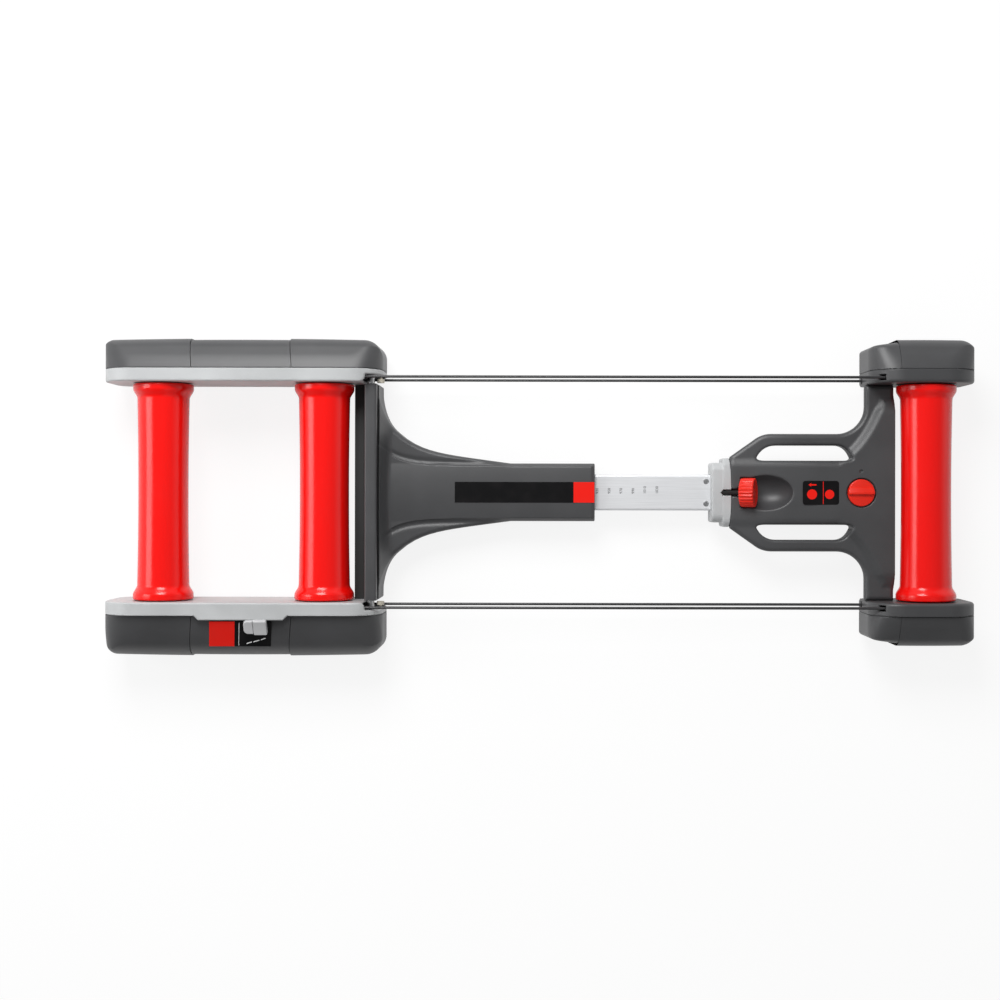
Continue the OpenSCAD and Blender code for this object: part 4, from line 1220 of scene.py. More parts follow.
@dataclass
class SideFrame:
    """Side frame behind the hinge: grey shell, dark caps and a middle cover between splits."""

    side: Side
    width: float
    band: float
    rail: Rail = Rail(-355.5, 97.0, 8.0, 30.0)
    notch: float = 71.5
    lip: float = 190.0
    split_front: float = -45.5
    split_rear: float = -207.5
    split_gap: float = 0.9
    lean: float = 7.0 / 51.0
    step: float = 2.0
    flap: tuple[float, float, float] = (-201.5, -51.5, 7.0)
    wheels: tuple[float, float] = (-312.0, 48.0)
    wheel_half: float = 18.0
    wheel_room: tuple[float, float] = (182.2, 196.0)

    def build(self) -> None:
        """Makes the shell, the two caps and the middle cover."""
        rail, top = self.rail, (self.rail.x1, SEAM_Y + self.width, CREST_Z)
        mesh = skin(self.shell, (rail.x0, SIDE_Y, rail.bottom), (rail.x1, SEAM_Y + 8, CREST_Z), 1.9)
        self.keep("side_shell", mesh, GREY, "rail_shell")
        mesh = skin(self.caps, (rail.x0, SEAM_Y, rail.bottom), top, 2.0)
        rear, front = self.split(self.split_rear, 1), self.split(self.split_front, -1)
        self.keep("rear_cap", sliced(mesh, [rear], self.caps), DARK, "rail_caps")
        self.keep("front_cap", sliced(mesh, [front], self.caps), DARK, "rail_caps")
        low = (self.split_rear - 20, SEAM_Y, rail.bottom)
        mesh = skin(self.middle, low, (self.split_front + 10, *top[1:]), 2.0)
        planes = [self.split(self.split_front - self.split_gap, 1)]
        planes.append(self.split(self.split_rear + self.split_gap, -1))
        self.keep("middle_cap", sliced(mesh, planes, self.middle), DARK, "middle_cover")

    def keep(self, name: str, mesh: Mesh, finish: Finish, node: str) -> None:
        """Puts a left-hand mesh on this side of the carriage."""
        put_beside(self.side, name, mesh, finish, "rear_frame", node)

    def split(self, x: float, facing: int) -> tuple[Point, Point]:
        """A leaning split as a point and a direction."""
        return (x, SEAM_Y, 0.0), (facing * 1.0, facing * self.lean, 0.0)

    def flap_at(self, x: Array, y: Array, grow: float) -> Array:
        """Distance to the plan of the flap over the slider.

        Args:
            x: Along the rollers.
            y: Across them.
            grow: How much larger the plan is.

        Returns:
            The distance.
        """
        x0, x1, w = self.flap
        corners = [(x0 - grow, SEAM_Y - 2), (x1 + grow, SEAM_Y - 2), (x1 + grow, SEAM_Y)]
        corners += [(x1 - w, SEAM_Y + w + grow), (x0 + w, SEAM_Y + w + grow), (x0 - grow, SEAM_Y)]
        return polygon(x, y, corners)

    def shell(self, x: Array, y: Array, z: Array) -> Array:
        """Distance to the grey shell, whose rim rises above the wall.

        Args:
            x: Along the rollers.
            y: Across them.
            z: Height.

        Returns:
            The distance.
        """
        plan = joined(rounded(x - self.notch, SIDE_Y - y, 9.0), self.lip - y, 2.0)
        body = rounded(rounded(self.rail.side(x, z), plan, 3.0), y - SEAM_Y, 0.8)
        body = self.rail.hollowed(body, x, y, z, 0.0)
        half = self.wheel_half
        for wheel in self.wheels:
            slot = plate(x, z, (wheel - half, -10), (wheel + half, 20), (2, 2, 2, 2))
            body = cut(body, np.maximum(slot, between(y, *self.wheel_room)))
        if self.side is Side.RIGHT:
            flap = np.maximum(self.flap_at(x, y, 0.0), between(z, CREST_Z - 4, CREST_Z))
            body = np.minimum(body, flap)
        return body

    def caps(self, x: Array, y: Array, z: Array) -> Array:
        """Distance to the rear cap and the front cap as one block.

        Args:
            x: Along the rollers.
            y: Across them.
            z: Height.

        Returns:
            The distance.
        """
        form = CoverForm(self.rail, self.width, self.band, 16.0, 30.0)
        return form.sunk(form.cover(x, y, z), x, y, z, CAP_SCREWS)

    def middle(self, x: Array, y: Array, z: Array) -> Array:
        """Distance to the middle cover, which stands back and is hollow over the brake.

        Args:
            x: Along the rollers.
            y: Across them.
            z: Height.

        Returns:
            The distance.
        """
        form = CoverForm(self.rail, self.width - self.step, self.band, 16.0, 30.0)
        hollow = self.side is Side.RIGHT
        body = form.cover(x, y, z, hollow)
        if hollow:
            body = cut(body, np.maximum(self.flap_at(x, y, 0.3), CREST_Z - 4.3 - z))
        return form.sunk(body, x, y, z, MIDDLE_SCREWS)


@dataclass
class FrontHousing:
    """Round housing at one end of the front drum: inner shell, tapering cheek and round cover."""

    side: Side
    rail: Rail = Rail(FRONT_X - 97.0, FRONT_X + 75.5, 12.0, 20.0)
    split: float = FRONT_X - 52.0
    width: float = 50.5
    cheek_w: float = 46.0
    taper: float = 7.0
    belt_gap: float = 4.5

    def build(self) -> None:
        """Makes the three pieces of the housing."""
        rail, split = self.rail, self.split
        outer, seam = (SEAM_Y + self.width, CREST_Z), (SEAM_Y, rail.bottom)
        shell = skin(self.shell, (rail.x0, SIDE_Y, rail.bottom), (rail.x1, SEAM_Y, CREST_Z), 1.9)
        cheek = skin(self.cheek, (rail.x0, *seam), (split + 8, *outer), 2.0)
        cheek = sliced(cheek, [((split - 0.5, 0.0, 0.0), (1.0, 0.0, 0.0))], self.cheek)
        cover = skin(self.cover, (split - 8, *seam), (rail.x1, *outer), 2.0)
        cover = sliced(cover, [((split, 0.0, 0.0), (-1.0, 0.0, 0.0))], self.cover)
        put_beside(self.side, "inner_shell", shell, DARK, "front_frame", "front_shell")
        put_beside(self.side, "cheek", cheek, DARK, "front_frame", "front_shell")
        put_beside(self.side, "round_cover", cover, DARK, "front_frame", "front_cover")

    def form(self) -> CoverForm:
        """The round cover's form."""
        return CoverForm(self.rail, self.width, 14.0, 18.0, 24.0, bow=1.0)

    def cover(self, x: Array, y: Array, z: Array) -> Array:
        """Distance to the round cover with its screws' sinks."""
        form = self.form()
        return form.sunk(form.cover(x, y, z), x, y, z, HOUSING_SCREWS)

    def cheek(self, x: Array, y: Array, z: Array) -> Array:
        """Distance to the cheek, which narrows to the rear."""
        narrowed = self.taper * (self.split - x) / (self.split - self.rail.x0)
        return rounded(self.form().cover(x, y, z), y - SEAM_Y - self.cheek_w + narrowed, 6.0)

    def shell(self, x: Array, y: Array, z: Array) -> Array:
        """Distance to the shell between the drum's end and the seam.

        Args:
            x: Along the rollers.
            y: Across them.
            z: Height.

        Returns:
            The distance.
        """
        body = rounded(rounded(self.rail.side(x, z), SIDE_Y - y, 5.0), y - SEAM_Y, 0.8)
        body = self.rail.hollowed(body, x, y, z, FRONT_X)
        half = self.belt_gap
        for level in (AXLE_Z - 41.0, AXLE_Z + 41.0):
            gap = between(y, BELT_Y - half, BELT_Y + half)
            gap = np.maximum(gap, between(z, level - half, level + half))
            body = cut(body, np.maximum(gap, x - FRONT_X + 50), 1.0)
        return body


@dataclass
class Arm:
    """Flared arm between the hinge beam and the tube, with a raised middle band."""

    root: float = 88.0
    tip: float = 444.5
    half: float = 48.0
    flare: float = 66.5
    flare_end: float = 305.0
    bottom: float = 16.0
    shoulder: float = 61.0
    ridge: float = 66.5
    ramp: float = 36.0
    ramp_len: float = 21.0
    band: float = 45.4
    channel: float = 31.5

    def build(self) -> None:
        """Meshes the shell over the tube's channel, and the plate under it."""
        mesh = skin(self.distance, (self.root, -176, self.bottom), (self.tip, 176, 98), 2.0)
        put("arm_cover", mesh, DARK, "arm", "arm_shell")
        self.underside()

    def underside(self) -> None:
        """Makes the base plate and the rib that closes the channel."""
        half = [(68.2, 176.3), (self.root, 176.3)] + [(x, y - 0.6) for x, y in self.edge()[2:]]
        outline = [(x - 0.3, -y) for x, y in half] + [(x - 0.3, y) for x, y in half[::-1]]
        tip, side = self.tip - 0.4, self.channel - 0.3
        rib = [(self.root, -side), (tip, -side), (tip, side), (self.root, side)]
        parts = [slab(outline, 12.0, self.bottom - 0.05), slab(rib, 15.0, 20.4)]
        put("arm_underside", gathered(parts), DARK, "arm", "arm_base")

    def edge(self) -> Path:
        """Draws the plan of the left edge, from the hinge beam to the tip.

        Returns:
            Its points.
        """
        start, bent = HINGE[0] + 25, HINGE[0] + 38
        steps = np.linspace(bent, self.flare_end, 15)
        t = (self.flare_end - steps) / (self.flare_end - start)
        side = self.half + self.flare * (0.406 * t + 0.594 * t**5.5)
        corner = (self.root + 7.4, side[0] + 17)
        root = bend((self.root + 1.9, 157.0), corner, (bent, side[0]), 10)
        start_edge = [(self.root - 0.2, 175.5), (self.root + 1.7, 175.5)]
        return start_edge + root + list(zip(steps, side)) + [(self.tip, self.half)]

    def distance(self, x: Array, y: Array, z: Array) -> Array:
        """Distance to the shell as a block with its channel.

        Args:
            x: Along the rollers.
            y: Across them.
            z: Height.

        Returns:
            The distance.
        """
        side = np.abs(y)
        plan = polygon(x, side, self.edge() + [(self.tip, -60.0), (self.root - 0.2, -60.0)])
        climb = np.clip((self.root + self.ramp_len - x) / (self.ramp_len - 3), 0, 1)
        rise = self.ramp * climb**1.9
        band = self.band + 25.2 * np.exp(-(x - self.root - 7) / 28.0)
        step = np.clip((band - side) / 2.4, 0, 1)
        step = step * step * (3 - 2 * step)
        crown = (self.ridge - self.shoulder - 2.4) * np.clip(1 - (side / self.half) ** 2, 0, 1)
        valley = 1.6 * np.exp(-(((side - band - 4.5) / 4.0) ** 2))
        valley = valley * np.clip((side - band) / 2.0, 0, 1)
        top = z - self.shoulder - np.hypot(rise, 2.4 * step + crown) + valley
        body = rounded(plan, 0.85 * top, 7.0)
        body = rounded(body, self.bottom - z, 1.5)
        return cut(body, np.maximum(side - self.channel, between(z, 10.0, 53.5)))


@dataclass(frozen=True)
class ClampAxis:
    """Tilted axis that the clamp knob turns about."""

    x: float = 695.0
    z: float = 84.0
    tilt: float = math.radians(19.0)
    room: float = 25.5

    def split(self, x: Array, y: Array, z: Array) -> tuple[Array, Array]:
        """Measures how far a point is along the axis and away from it.

        Args:
            x: Along the rollers.
            y: Across them.
            z: Height.

        Returns:
            The distance along the axis and the distance away from it.
        """
        along = (x - self.x) * math.cos(self.tilt) + (z - self.z) * math.sin(self.tilt)
        rise = (x - self.x) * math.sin(self.tilt) - (z - self.z) * math.cos(self.tilt)
        return along, np.hypot(y, rise)

    def tilted(self, shape: Shape) -> Shape:
        """Turns a shape from an upright axis onto this one.

        Args:
            shape: Vertices and faces.

        Returns:
            The shape on the tilted axis.
        """
        u, v, w = shape[0].T
        x = self.x + w * math.cos(self.tilt) - u * math.sin(self.tilt)
        z = self.z + w * math.sin(self.tilt) + u * math.cos(self.tilt)
        return np.stack([x, v, z], axis=1), shape[1]


CLAMP = ClampAxis()


@dataclass
class FrontFrame:
    """Casting ahead of the collar: deck, scoop, handles, flare and crossbar."""

    x0: float = 670.0
    x1: float = 936.0
    bar_x: float = 888.0
    deck_half: float = 52.0
    handle_y: float = 97.0
    handle_w: float = 19.0
    top: float = 90.0
    lip: float = 82.0
    bottom: float = 20.5
    lock_x: float = 880.5
    dial_r: float = 24.3
    pin_r: float = 8.3
    channel: float = 31.5

    def build(self) -> None:
        """Meshes the casting."""
        low, high = (self.x0 - 4, -SIDE_Y, self.bottom), (self.x1, SIDE_Y, self.top + 3)
        mesh = skin(self.distance, low, high, 2.0)
        put("front_casting", mesh, DARK, "front_frame", "front_frame")

    def outline(self) -> Path:
        """Draws the plan of a handle and its half of the crossbar.

        Returns:
            Its points.
        """
        y, fillet = self.handle_y, 46.0
        points = [(self.x1, -60.0), (self.x0 - 4, -60.0), (self.x0 - 4, 59.5)]
        points += bend((self.x0 + 34, y - 11.5), (self.x0 + 48, y), (self.x0 + 64, y), 6)
        points += arc((self.bar_x - fillet, y + fillet), fillet, -90, 0, 12)
        return points + [(self.bar_x, SIDE_Y), (self.x1, SIDE_Y)]

    def slot(self) -> Path:
        """Draws the plan of the left hand slot.

        Returns:
            Its points.
        """
        a, b = self.x0 + 42, self.bar_x - 23
        near, far = self.deck_half + 0.8, self.handle_y - self.handle_w
        points = bend((a + 12, near), (a - 6, near), (a, near + 8), 5)
        points += bend((a, near + 8), (a + 10, far), (a + 32, far), 6)
        points += bend((b - 25, far), (b - 8, far), (b, near + 8), 6)
        return points + bend((b, near + 8), (b + 6, near), (b - 12, near), 5)

    def raised(self) -> Path:
        """Draws the plan of the deck and of its flare out along the crossbar.

        Returns:
            Its points.
        """
        x, y = self.bar_x, self.deck_half
        points = [(self.x1 + 9, -60.0), (self.x0 - 9, -60.0), (self.x0 - 9, y)]
        points += bend((x - 46, y), (x - 4, 74.0), (x + 23, 143.0), 12)
        return points + [(x + 26, 156.0), (self.x1 + 9, 156.0)]

    def solid(self, x: Array, side: Array, z: Array) -> Array:
        """Distance to the casting before anything is cut from it.

        Args:
            x: Along the rollers.
            side: How far from the centre line.
            z: Height.

        Returns:
            The distance.
        """
        nose = (z - 75.0) * 0.984 - (x - self.x0) * 0.176
        top = rounded(z - self.top, nose, 16.0)
        ends = (z - self.top + 0.55 * (side - 135)) * 0.876
        high = rounded(polygon(x, side, self.raised()), rounded(top, ends, 3.0), 11.0)
        deck = np.maximum(side - self.deck_half, self.bottom - z)
        deck = np.maximum(high, np.minimum(deck, self.lip - 22 - z))
        lean = 0.2 * np.clip(self.lip - 10 - z, 0, None)
        low_top = rounded(z - self.lip, nose, 12.0)
        bar = rounded(polygon(x, side, self.outline()) + lean, low_top, 8.0)
        bar = rounded(bar, np.where(x > self.bar_x - 20, 46.0, 52.0) - z, 3.0)
        return np.maximum(joined(deck, bar, 9.0), np.maximum(x - self.x1, side - SIDE_Y))

    def distance(self, x: Array, y: Array, z: Array) -> Array:
        """Distance to the casting.

        Args:
            x: Along the rollers.
            y: Across them.
            z: Height.

        Returns:
            The distance.
        """
        side = np.abs(y)
        along, away = CLAMP.split(x, y, z)
        hollow = plate(x, side, (self.bar_x + 12, 54), (self.x1 - 4, 173.5), (3, 3, 3, 3))
        dial, pin = (rod(x, y, self.lock_x, 0, r) for r in (self.dial_r, self.pin_r))
        mark = rod(x, y, self.lock_x - 0.3, 35.0, 2.6)
        cuts = [
            (polygon(x, side, self.slot()), 5.0),
            (self.scoop(x, y, z), 2.5),
            (np.maximum(away - CLAMP.room, between(along, -13.0, 27.0)), 1.5),
            (np.maximum(dial, self.top - 5 - z), 1.2),
            (np.maximum(pin, z - 88), 0.0),
            (np.maximum(mark, self.top - 1.2 - z), 0.4),
            (np.maximum(side - self.channel, z - 53.5), 0.0),
            (np.maximum(hollow, z - 76), 0.0),
        ]
        body = self.solid(x, side, z)
        for part, radius in cuts:
            body = cut(body, part, radius)
        return np.maximum(body, self.x0 - 0.4 - 3 * (side / 57) ** 2 - x)

    def scoop(self, x: Array, y: Array, z: Array) -> Array:
        """Distance to the hollow behind the clamp knob.

        Args:
            x: Along the rollers.
            y: Across them.
            z: Height.

        Returns:
            The distance.
        """
        oval = np.sqrt(((x - 722.5) / 47) ** 2 + (y / 30) ** 2 + ((z - 92) / 33) ** 2) - 1
        mouth = np.maximum(np.abs(y) - 6, np.maximum(x - 700, 66.0 - z))
        return joined(oval * 30, mouth, 5.0)


@dataclass
class Collar:
    """Grey collar that guides the tube into the front frame."""

    x0: float = 637.0
    x1: float = 670.0
    neck: float = 17.0
    half: float = 49.5
    flange: float = 57.0
    bottom: float = 16.0
    top: float = 75.0

    def build(self) -> None:
        """Meshes the collar round the tube."""
        low, high = (self.x0, -self.flange, self.bottom), (self.x1, self.flange, self.top)
        mesh = skin(self.distance, low, high, 1.5)
        put("grey_collar", mesh, GREY, "front_frame", "tube_collar")

    def distance(self, x: Array, y: Array, z: Array) -> Array:
        """Distance to the collar.

        Args:
            x: Along the rollers.
            y: Across them.
            z: Height.

        Returns:
            The distance.
        """
        side = np.abs(y)
        bow = (side / self.flange) ** 2
        neck = plate(side, z, (-self.half, self.bottom), (self.half, self.top), (5, 5, 14, 14))
        neck = rounded(neck, self.x0 - x, 3.0)
        low, high = (-self.flange, self.bottom), (self.flange, self.top)
        flange = plate(side, z, low, high, (5, 5, 15, 15))
        flange = rounded(flange, self.x0 + self.neck - x + 1.5 * bow, 3.0)
        body = rounded(joined(neck, flange, 1.5), x - self.x1 + 0.6 + 3 * bow, 1.0)
        along, away = CLAMP.split(x, y, z)
        cuts = [
            (plate(side, z, (-30.3, 21.7), (30.3, 52.3), (4, 4, 4, 4)), 1.0),
            (np.maximum(away - CLAMP.room, -13.0 - along), 1.0),
            (np.maximum(away - 4.3, -45.0 - along), 0.8),
            (np.maximum(side - 5.0, np.maximum(655.0 - x, 70.0 - z)), 1.2),
            (np.maximum(side - 8.3, np.maximum(between(z, 51.0, 64.0), 640.0 - x)), 0.0),
        ]
        for part, radius in cuts:
            body = cut(body, part, radius)
        return body


@dataclass
class HingeBeam:
    """Strip between the side frames that the arm folds about."""

    x0: float = 68.0
    x1: float = 87.6
    half: float = 176.3
    bottom: float = 16.0
    top: float = 113.6

    def build(self) -> None:
        """Extrudes the strip's section."""
        section = round_box((self.x0, self.bottom), (self.x1, self.top), 3.5)
        points, faces = slab(section, -self.half, self.half)
        put("hinge_strip", (points[:, [0, 2, 1]], faces), DARK, "arm", "hinge_beam")


@dataclass
class ClampKnob:
    """Ribbed red knob on a threaded screw, tilted about the clamp's axis."""

    radius: float = 23.9
    length: float = 25.0
    ribs: int = 26
    depth: float = 1.5
    screw: float = 4.0
    screw_end: float = -45.0
    pitch: float = 1.5
    threads: int = 22

    def build(self) -> None:
        """Makes the knob and its screw."""
        put("clamp_wheel", CLAMP.tilted(self.wheel()), RED, "clamp_knob", "clamp_knob")
        start = self.screw_end - 0.5
        thread = [(0.01, start), (self.screw - 1, start)]
        for i in range(2 * self.threads):
            groove = 0.1 if i % 2 else 0.75
            thread.append((self.screw - groove, self.screw_end + self.pitch / 2 * i))
        thread.append((0.01, thread[-1][1]))
        mesh = CLAMP.tilted(lathe(thread, (0, 0, 0), Turn.UP, 28))
        put("clamp_thread", mesh, BLACK, "clamp_knob", "clamp_screw")

    def wheel(self) -> Shape:
        """Lathes the knob and presses its ribs in.

        Returns:
            Vertices and faces, upright.
        """
        h, r = self.length / 2, self.radius
        rings = [(0.01, -h), (17.0, -h), (20.5, -h + 0.5), (r - 0.8, -h + 1.8)]
        rings += [(r - 0.1, -h + 4), (r, 0.0), (r, h - 2.0), (r - 0.3, h - 0.8), (r - 1.2, h - 0.1)]
        rings += [(r - 2.4, h), (r - 3.4, h - 0.4), (18.0, h - 1.6), (9.0, h - 2.6)]
        rings += [(7.8, h - 2.6), (6.8, h - 1.4), (0.01, h - 1.2)]
        points, faces = lathe(rings, (0, 0, 0), Turn.UP, self.ribs * 8)
        turn = np.arctan2(points[:, 1], points[:, 0])
        away = np.hypot(points[:, 0], points[:, 1])
        groove = self.depth * (0.5 - 0.5 * np.cos(self.ribs * turn))
        groove = groove * np.clip((away - 14) / 7, 0, 1)
        points[:, :2] *= (1 - groove / np.maximum(away, 1))[:, None]
        return points, faces


@dataclass
class LockKnob:
    """Red turning knob with a grip across it."""

    x: float = 880.5
    radius: float = 22.3
    bottom: float = 85.3
    top: float = 91.5
    grip: float = 96.0
    dome: float = 0.004

    def build(self) -> None:
        """Meshes the knob."""
        low = (self.x - self.radius, -self.radius, self.bottom)
        high = (self.x + self.radius, self.radius, self.grip)
        put("lock_dial", skin(self.distance, low, high, 0.9), RED, "lock_knob", "lock_knob")

    def distance(self, x: Array, y: Array, z: Array) -> Array:
        """Distance to the disc with its grip.

        Args:
            x: Along the rollers.
            y: Across them.
            z: Height.

        Returns:
            The distance.
        """
        r = np.hypot(x - self.x, y)
        dome = self.dome * r * r
        disc = rounded(r - self.radius, z - self.top + dome, 1.4)
        slope = (z - self.grip + 0.45 * np.clip(y - 1.0, 0, None) + dome) * 0.92
        grip = rounded(rounded(-3.0 - y, y - 9.0, 1.0), slope, 1.2)
        grip = rounded(grip, r - self.radius + 0.8, 1.2)
        return np.maximum(joined(disc, grip, 0.6), self.bottom - z)


@dataclass
class Resistance:
    """Slider on the right cover's slope: its two-part label, its ramp marks and its knob."""

    lean: float = 0.128
    rows: tuple[float, float] = (10.5, 59.0)
    film: float = 0.35
    ink: float = 0.5

    def build(self) -> None:
        """Makes the label, its marks and the knob."""
        self.sheet("slider_label_red", -177.0, -136.2, RED_FILM)
        self.sheet("slider_label_black", -135.9, -77.0, BLACK_FILM)
        marks = []
        for x, s, size in ((-112.0, 53.0, 4.5), (-100.5, 49.5, 5.0), (-89.5, 45.5, 4.0)):
            upper = [(x - size, s + 1.6), (x + size, s - 2.0)]
            marks.append(upper + [(x + size - 0.8, s - 3.6), (x - size + 0.4, s - 0.6)])
        marks.append([(-129.4, 13.0), (-128.6, 13.0), (-128.6, 57.0), (-129.4, 57.0)])
        mesh = gathered([self.laid(m, self.film, self.ink) for m in marks])
        put("slider_marks", mesh, PALE_INK, "rear_frame", "resistance_label")
        mesh = skin(self.knob, (-124.0, -240.0, 100.0), (-84.0, -200.0, 150.0), 0.9)
        put("slider_knob", mesh, PALE_GREY, "resistance_slider", "resistance_knob")

    def sheet(self, name: str, x0: float, x1: float, finish: Finish) -> None:
        """Makes one area of the label.

        Args:
            name: Its name.
            x0: Its rear edge.
            x1: Its front edge.
            finish: Its film.
        """
        s0, s1 = self.rows
        mesh = self.laid([(x0, s0), (x1, s0), (x1, s1), (x0, s1)], 0.05, self.film)
        put(name, mesh, finish, "rear_frame", "resistance_label")

    def laid(self, outline: Sequence[Pair], low: float, high: float) -> Shape:
        """Lays a flat outline on the slope as a thin piece.

        Args:
            outline: Its corners, along and down the slope.
            low: Height of its underside above the slope.
            high: Height of its top.

        Returns:
            Vertices and faces.
        """
        points, faces = slab(outline, low, high)
        x, s, h = points.T
        out = s * math.cos(COVER_SLOPE) + h * math.sin(COVER_SLOPE)
        z = CREST_Z - s * math.sin(COVER_SLOPE) + h * math.cos(COVER_SLOPE)
        return np.stack([x - self.lean * (out - 9.0), -SEAM_Y - out, z], axis=1), faces

    def knob(self, x: Array, y: Array, z: Array) -> Array:
        """Distance to the knob: a low round part and a higher square part on one stem.

        Args:
            x: Along the rollers.
            y: Across them.
            z: Height.

        Returns:
            The distance.
        """
        out, drop = -y - SEAM_Y, CREST_Z - z
        s = out * math.cos(COVER_SLOPE) + drop * math.sin(COVER_SLOPE)
        h = out * math.sin(COVER_SLOPE) - drop * math.cos(COVER_SLOPE)
        low = plate(x, s, (-122.0, 6.0), (-100.0, 30.5), (7, 2, 2, 7))
        low = rounded(low, h - 7.6 - 0.03 * (x + 106), 1.8)
        high = plate(x, s, (-106.5, 5.0), (-84.5, 31.5), (2.5, 2.5, 2.5, 2.5))
        pad = np.maximum(joined(low, rounded(high, h - 9.2, 1.8), 0.5), 0.9 - h)
        pad = cut(pad, np.maximum(between(x, -106.9, -105.7), 5.0 - h), 0.3)
        stem = plate(x, s, (-110, 14), (-98, 22), (1, 1, 1, 1))
        return np.minimum(pad, np.maximum(stem, between(h, -12.0, 3.0)))


@dataclass
class Selector:
    """Black label with two red dots beside the lock knob."""

    low: tuple[float, float] = (784.2, -19.5)
    high: tuple[float, float] = (843.6, 19.5)
    top: float = 90.0
    film: float = 0.35
    ink: float = 0.12

    def build(self) -> None:
        """Makes the film and its red print."""
        printed = self.top + self.film
        mesh = slab(round_box(self.low, self.high, 4.5), self.top + 0.02, printed)
        put("selector_film", mesh, BLACK_FILM, "front_frame", "selector_label")
        dots = [arc((799.3, -2.6), 8.2, 0, 351, 39), arc((828.0, -2.6), 7.6, 0, 351, 39)]
        arrow = [(798.0, 9.8), (798.0, 11.8), (806.5, 11.8), (806.5, 14.2)]
        arrow += [(798.0, 14.2), (798.0, 16.2), (793.4, 13.0)]
        line = [(817.2, -18.5), (818.2, -18.5), (818.2, 18.5), (817.2, 18.5)]
        mesh = gathered([slab(o, printed, printed + self.ink) for o in (*dots, arrow, line)])
        put("selector_print", mesh, RED_FILM, "front_frame", "selector_label")


@dataclass
class Tube:
    """Print and rivets on the tube."""

    top: float = 52.0
    first: int = 930
    pitch: int = 20
    places: tuple[float, ...] = (450.7, 470.7, 490.4, 510.4, 530.0, 550.2)

    def build(self) -> None:
        """Makes the scale's numbers and the two rivets."""
        numbers = [self.number(self.first + self.pitch * i, x) for i, x in enumerate(self.places)]
        settle(piece("tube_numbers", gathered(numbers), INK, raw=True), "beam")
        profile = [(0.01, 0.27), (2.0, 0.25), (3.6, 0.18), (4.5, 0.06), (4.7, 0.0), (4.7, -0.3)]
        profile.append((0.01, -0.3))
        heads = [lathe(profile, (630.0, y, self.top), Turn.UP, 32) for y in (-18.6, 18.6)]
        put("tube_rivets", gathered(heads), STEEL, "beam", "beam_rivets")

    def number(self, shown: int, x: float) -> Shape:
        """Prints one number across the tube.

        Args:
            shown: The number.
            x: Where it stands.

        Returns:
            Vertices and faces.
        """
        text = bpy.data.curves.new("number", "FONT")
        text.body = str(shown)
        text.size, text.extrude, text.resolution_u = 6.4, 0.04, 3
        holder = bpy.data.objects.new("number", text)
        mesh = bpy.data.meshes.new_from_object(holder)
        u, v, w = np.array([p.co[:] for p in mesh.vertices]).T
        faces = [list(f.vertices) for f in mesh.polygons]
        bpy.data.objects.remove(holder)
        bpy.data.meshes.remove(mesh)
        bpy.data.curves.remove(text)
        return np.stack([x - v, u - 2.2, w + self.top + 0.05], axis=1), faces


@dataclass
class Belts:
    """Round belts from the middle drum to the front drum, one on each side."""

    radius: float = 41.0
    section: float = 2.25
    rear_end: float = 560.0
    front_end: float = 530.0

    def build(self) -> None:
        """Sweeps a rear loop round the middle drum and a front loop that slides over it."""
        rear, front = [], []
        crossing = list(np.linspace(104, 52, 27))
        rise, fall = AXLE_Z + self.radius, AXLE_Z - self.radius
        for y in (-BELT_Y, BELT_Y):
            upper = [(x, y, rise) for x in [self.rear_end, *crossing]]
            lower = [(x, y, fall) for x in [*crossing[::-1], self.rear_end]]
            turn = [(x, y, z) for x, z in arc((0.0, AXLE_Z), self.radius, 90, 270, 28)]
            rear.append(tube(upper + turn + lower, self.section - 0.05))
            turn = [(x, y, z) for x, z in arc((FRONT_X, AXLE_Z), self.radius, 90, -90, 28)]
            ends = [(self.front_end, y, level) for level in (rise, fall)]
            front.append(tube([ends[0], *turn, ends[1]], self.section))
        made = piece("belt_rear_loop", gathered(rear), BELT)
        ends = (HINGE[0] - 20.0, 0, HINGE[1]), (HINGE[0] + 20.0, 0, HINGE[1])
        stretch(made, ("rear_frame", "arm"), ends, "belts")
        put("belt_front_loop", gathered(front), BELT, "front_frame", "belts")


@dataclass
class FloatSprings:
    """The two coils that centre the arm on the tube."""

    x0: float = 88.9
    x1: float = 141.2
    radius: float = 6.6
    wire: float = 1.15
    turns: int = 9
    steps: int = 16

    def build(self) -> None:
        """Winds the coils between the arm and the tube."""
        made = piece("float_coils", gathered([self.coil(-15.0), self.coil(15.0)]), STEEL)
        ends = (self.x0, 0, TUBE_Z), (self.x1, 0, TUBE_Z)
        stretch(made, ("arm", "beam"), ends, "float_springs")

    def coil(self, y: float) -> Shape:
        """Winds one coil with a closed turn at each end.

        Args:
            y: Where its axis is.

        Returns:
            Vertices and faces.
        """
        path = []
        free = self.x1 - self.x0 - 2 * self.wire
        for i in range(self.turns * self.steps + 1):
            turned = i / self.steps
            a, done = turned * 2 * math.pi, turned / self.turns
            pitch = min(max((done * (self.turns + 2) - 1) / self.turns, 0), 1)
            x = self.x0 + self.wire + free * pitch + 0.02 * turned
            path.append((x, y + self.radius * math.cos(a), TUBE_Z + self.radius * math.sin(a)))
        return tube(path, self.wire, 8)


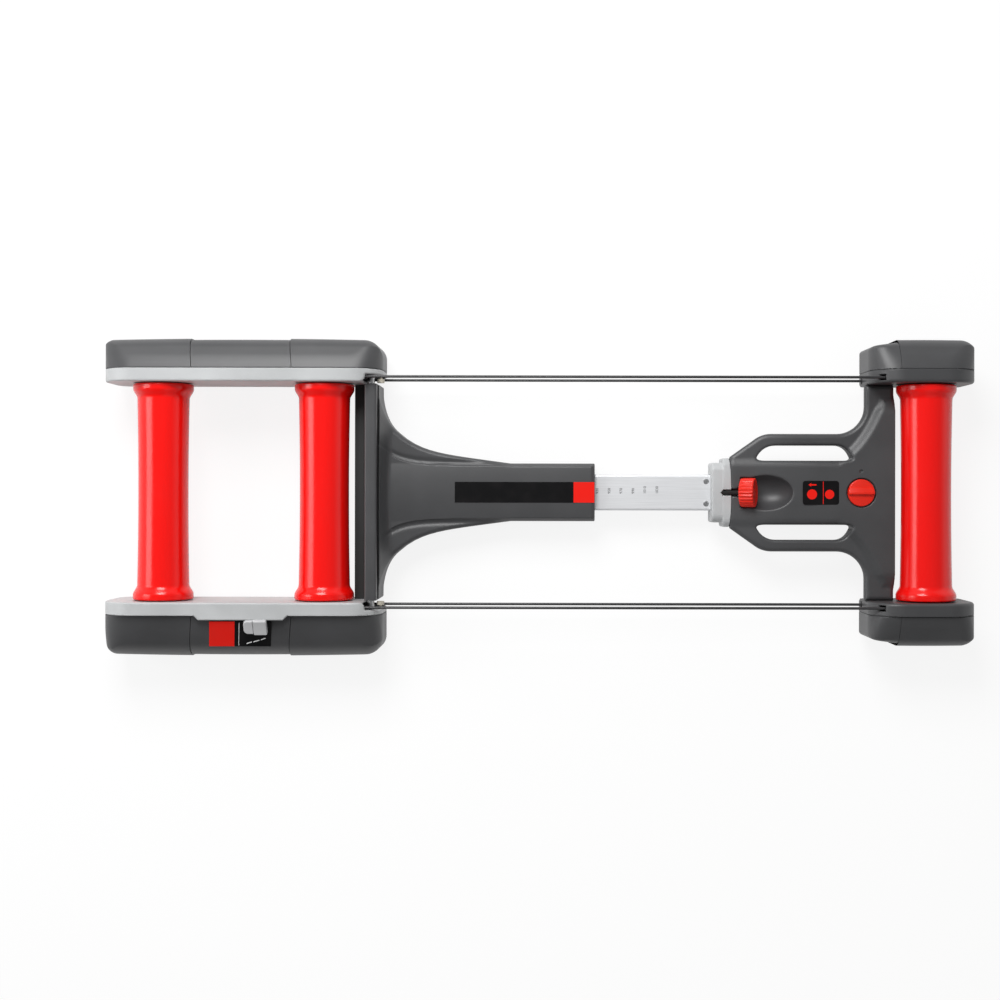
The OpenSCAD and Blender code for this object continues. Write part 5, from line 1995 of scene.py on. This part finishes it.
@dataclass
class CarriedNodes:
    """CAD nodes that still show: each gets its finish, and some get soft edges."""

    softened: str = "cross_tie front_tray front_feet beam_plugs magnet_carriage clamp_shoe"
    edge: float = 0.6

    def build(self) -> None:
        """Dresses every node that no piece stands for."""
        finishes = {
            DARK: "front_tray",
            DARK_INNER: "magnet_carriage",
            STEEL: "front_plates front_axle front_nuts clamp_shoe lock_pin rail_plates rear_axle "
            "middle_axle rear_nuts hinge_pins wheel_pins rear_bearings middle_bearings "
            "front_bearings brake_disc",
            ALUMINIUM: "beam_tube",
            BLACK: "cross_tie beam_plugs middle_pulleys front_pulleys",
            WHITE: "tube_guides arm_glides",
            BEIGE: "belt_guides",
            RUBBER: "front_feet left_rear_wheel right_rear_wheel left_front_wheel "
            "right_front_wheel",
            ARM_FILM: "arm_label",
        }
        for finish, names in finishes.items():
            for name in names.split():
                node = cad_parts[name]
                node.data.materials.clear()
                node.data.materials.append(finish.material())
                if name in self.softened.split():
                    self.soften(node)
            log.info("%s covers %s", finish.name, names)

    def soften(self, node: bpy.types.Object) -> None:
        """Rounds a node's sharp edges with modifiers.

        Args:
            node: The CAD node's object.
        """
        node.modifiers.new("weld", "WELD").merge_threshold = 2e-6
        bevel = node.modifiers.new("edges", "BEVEL")
        bevel.width = self.edge / MM
        bevel.segments = 2
        bevel.limit_method = "ANGLE"
        bevel.angle_limit = math.radians(40)
        bevel.harden_normals = False


def main() -> None:
    """Builds every sub-assembly in order."""
    logging.basicConfig(level=logging.INFO, format="%(message)s")
    rear_rows = [(250.0, CAP_SCREWS), (-269.5, CAP_SCREWS)]
    rear_rows += [(248.0, MIDDLE_SCREWS), (-267.5, MIDDLE_SCREWS)]
    front_rows = [(249.5, HOUSING_SCREWS), (-249.5, HOUSING_SCREWS)]
    parts: list[Any] = [
        Studio(),
        Drum("rear", -264.0),
        Drum("middle", 0.0),
        Drum("front", FRONT_X),
        SideFrame(Side.LEFT, 51.0, 14.0),
        SideFrame(Side.RIGHT, 70.5, 24.0),
        FrontHousing(Side.LEFT),
        FrontHousing(Side.RIGHT),
        Arm(),
        FrontFrame(),
        Collar(),
        HingeBeam(),
        ClampKnob(),
        LockKnob(),
        Resistance(),
        Selector(),
        Tube(),
        Belts(),
        FloatSprings(),
        CoverScrews("rear", "rear_frame", rear_rows),
        CoverScrews("front", "front_frame", front_rows),
        CarriedNodes(),
    ]
    for part in parts:
        part.build()


if __name__ == "__main__":
    main()
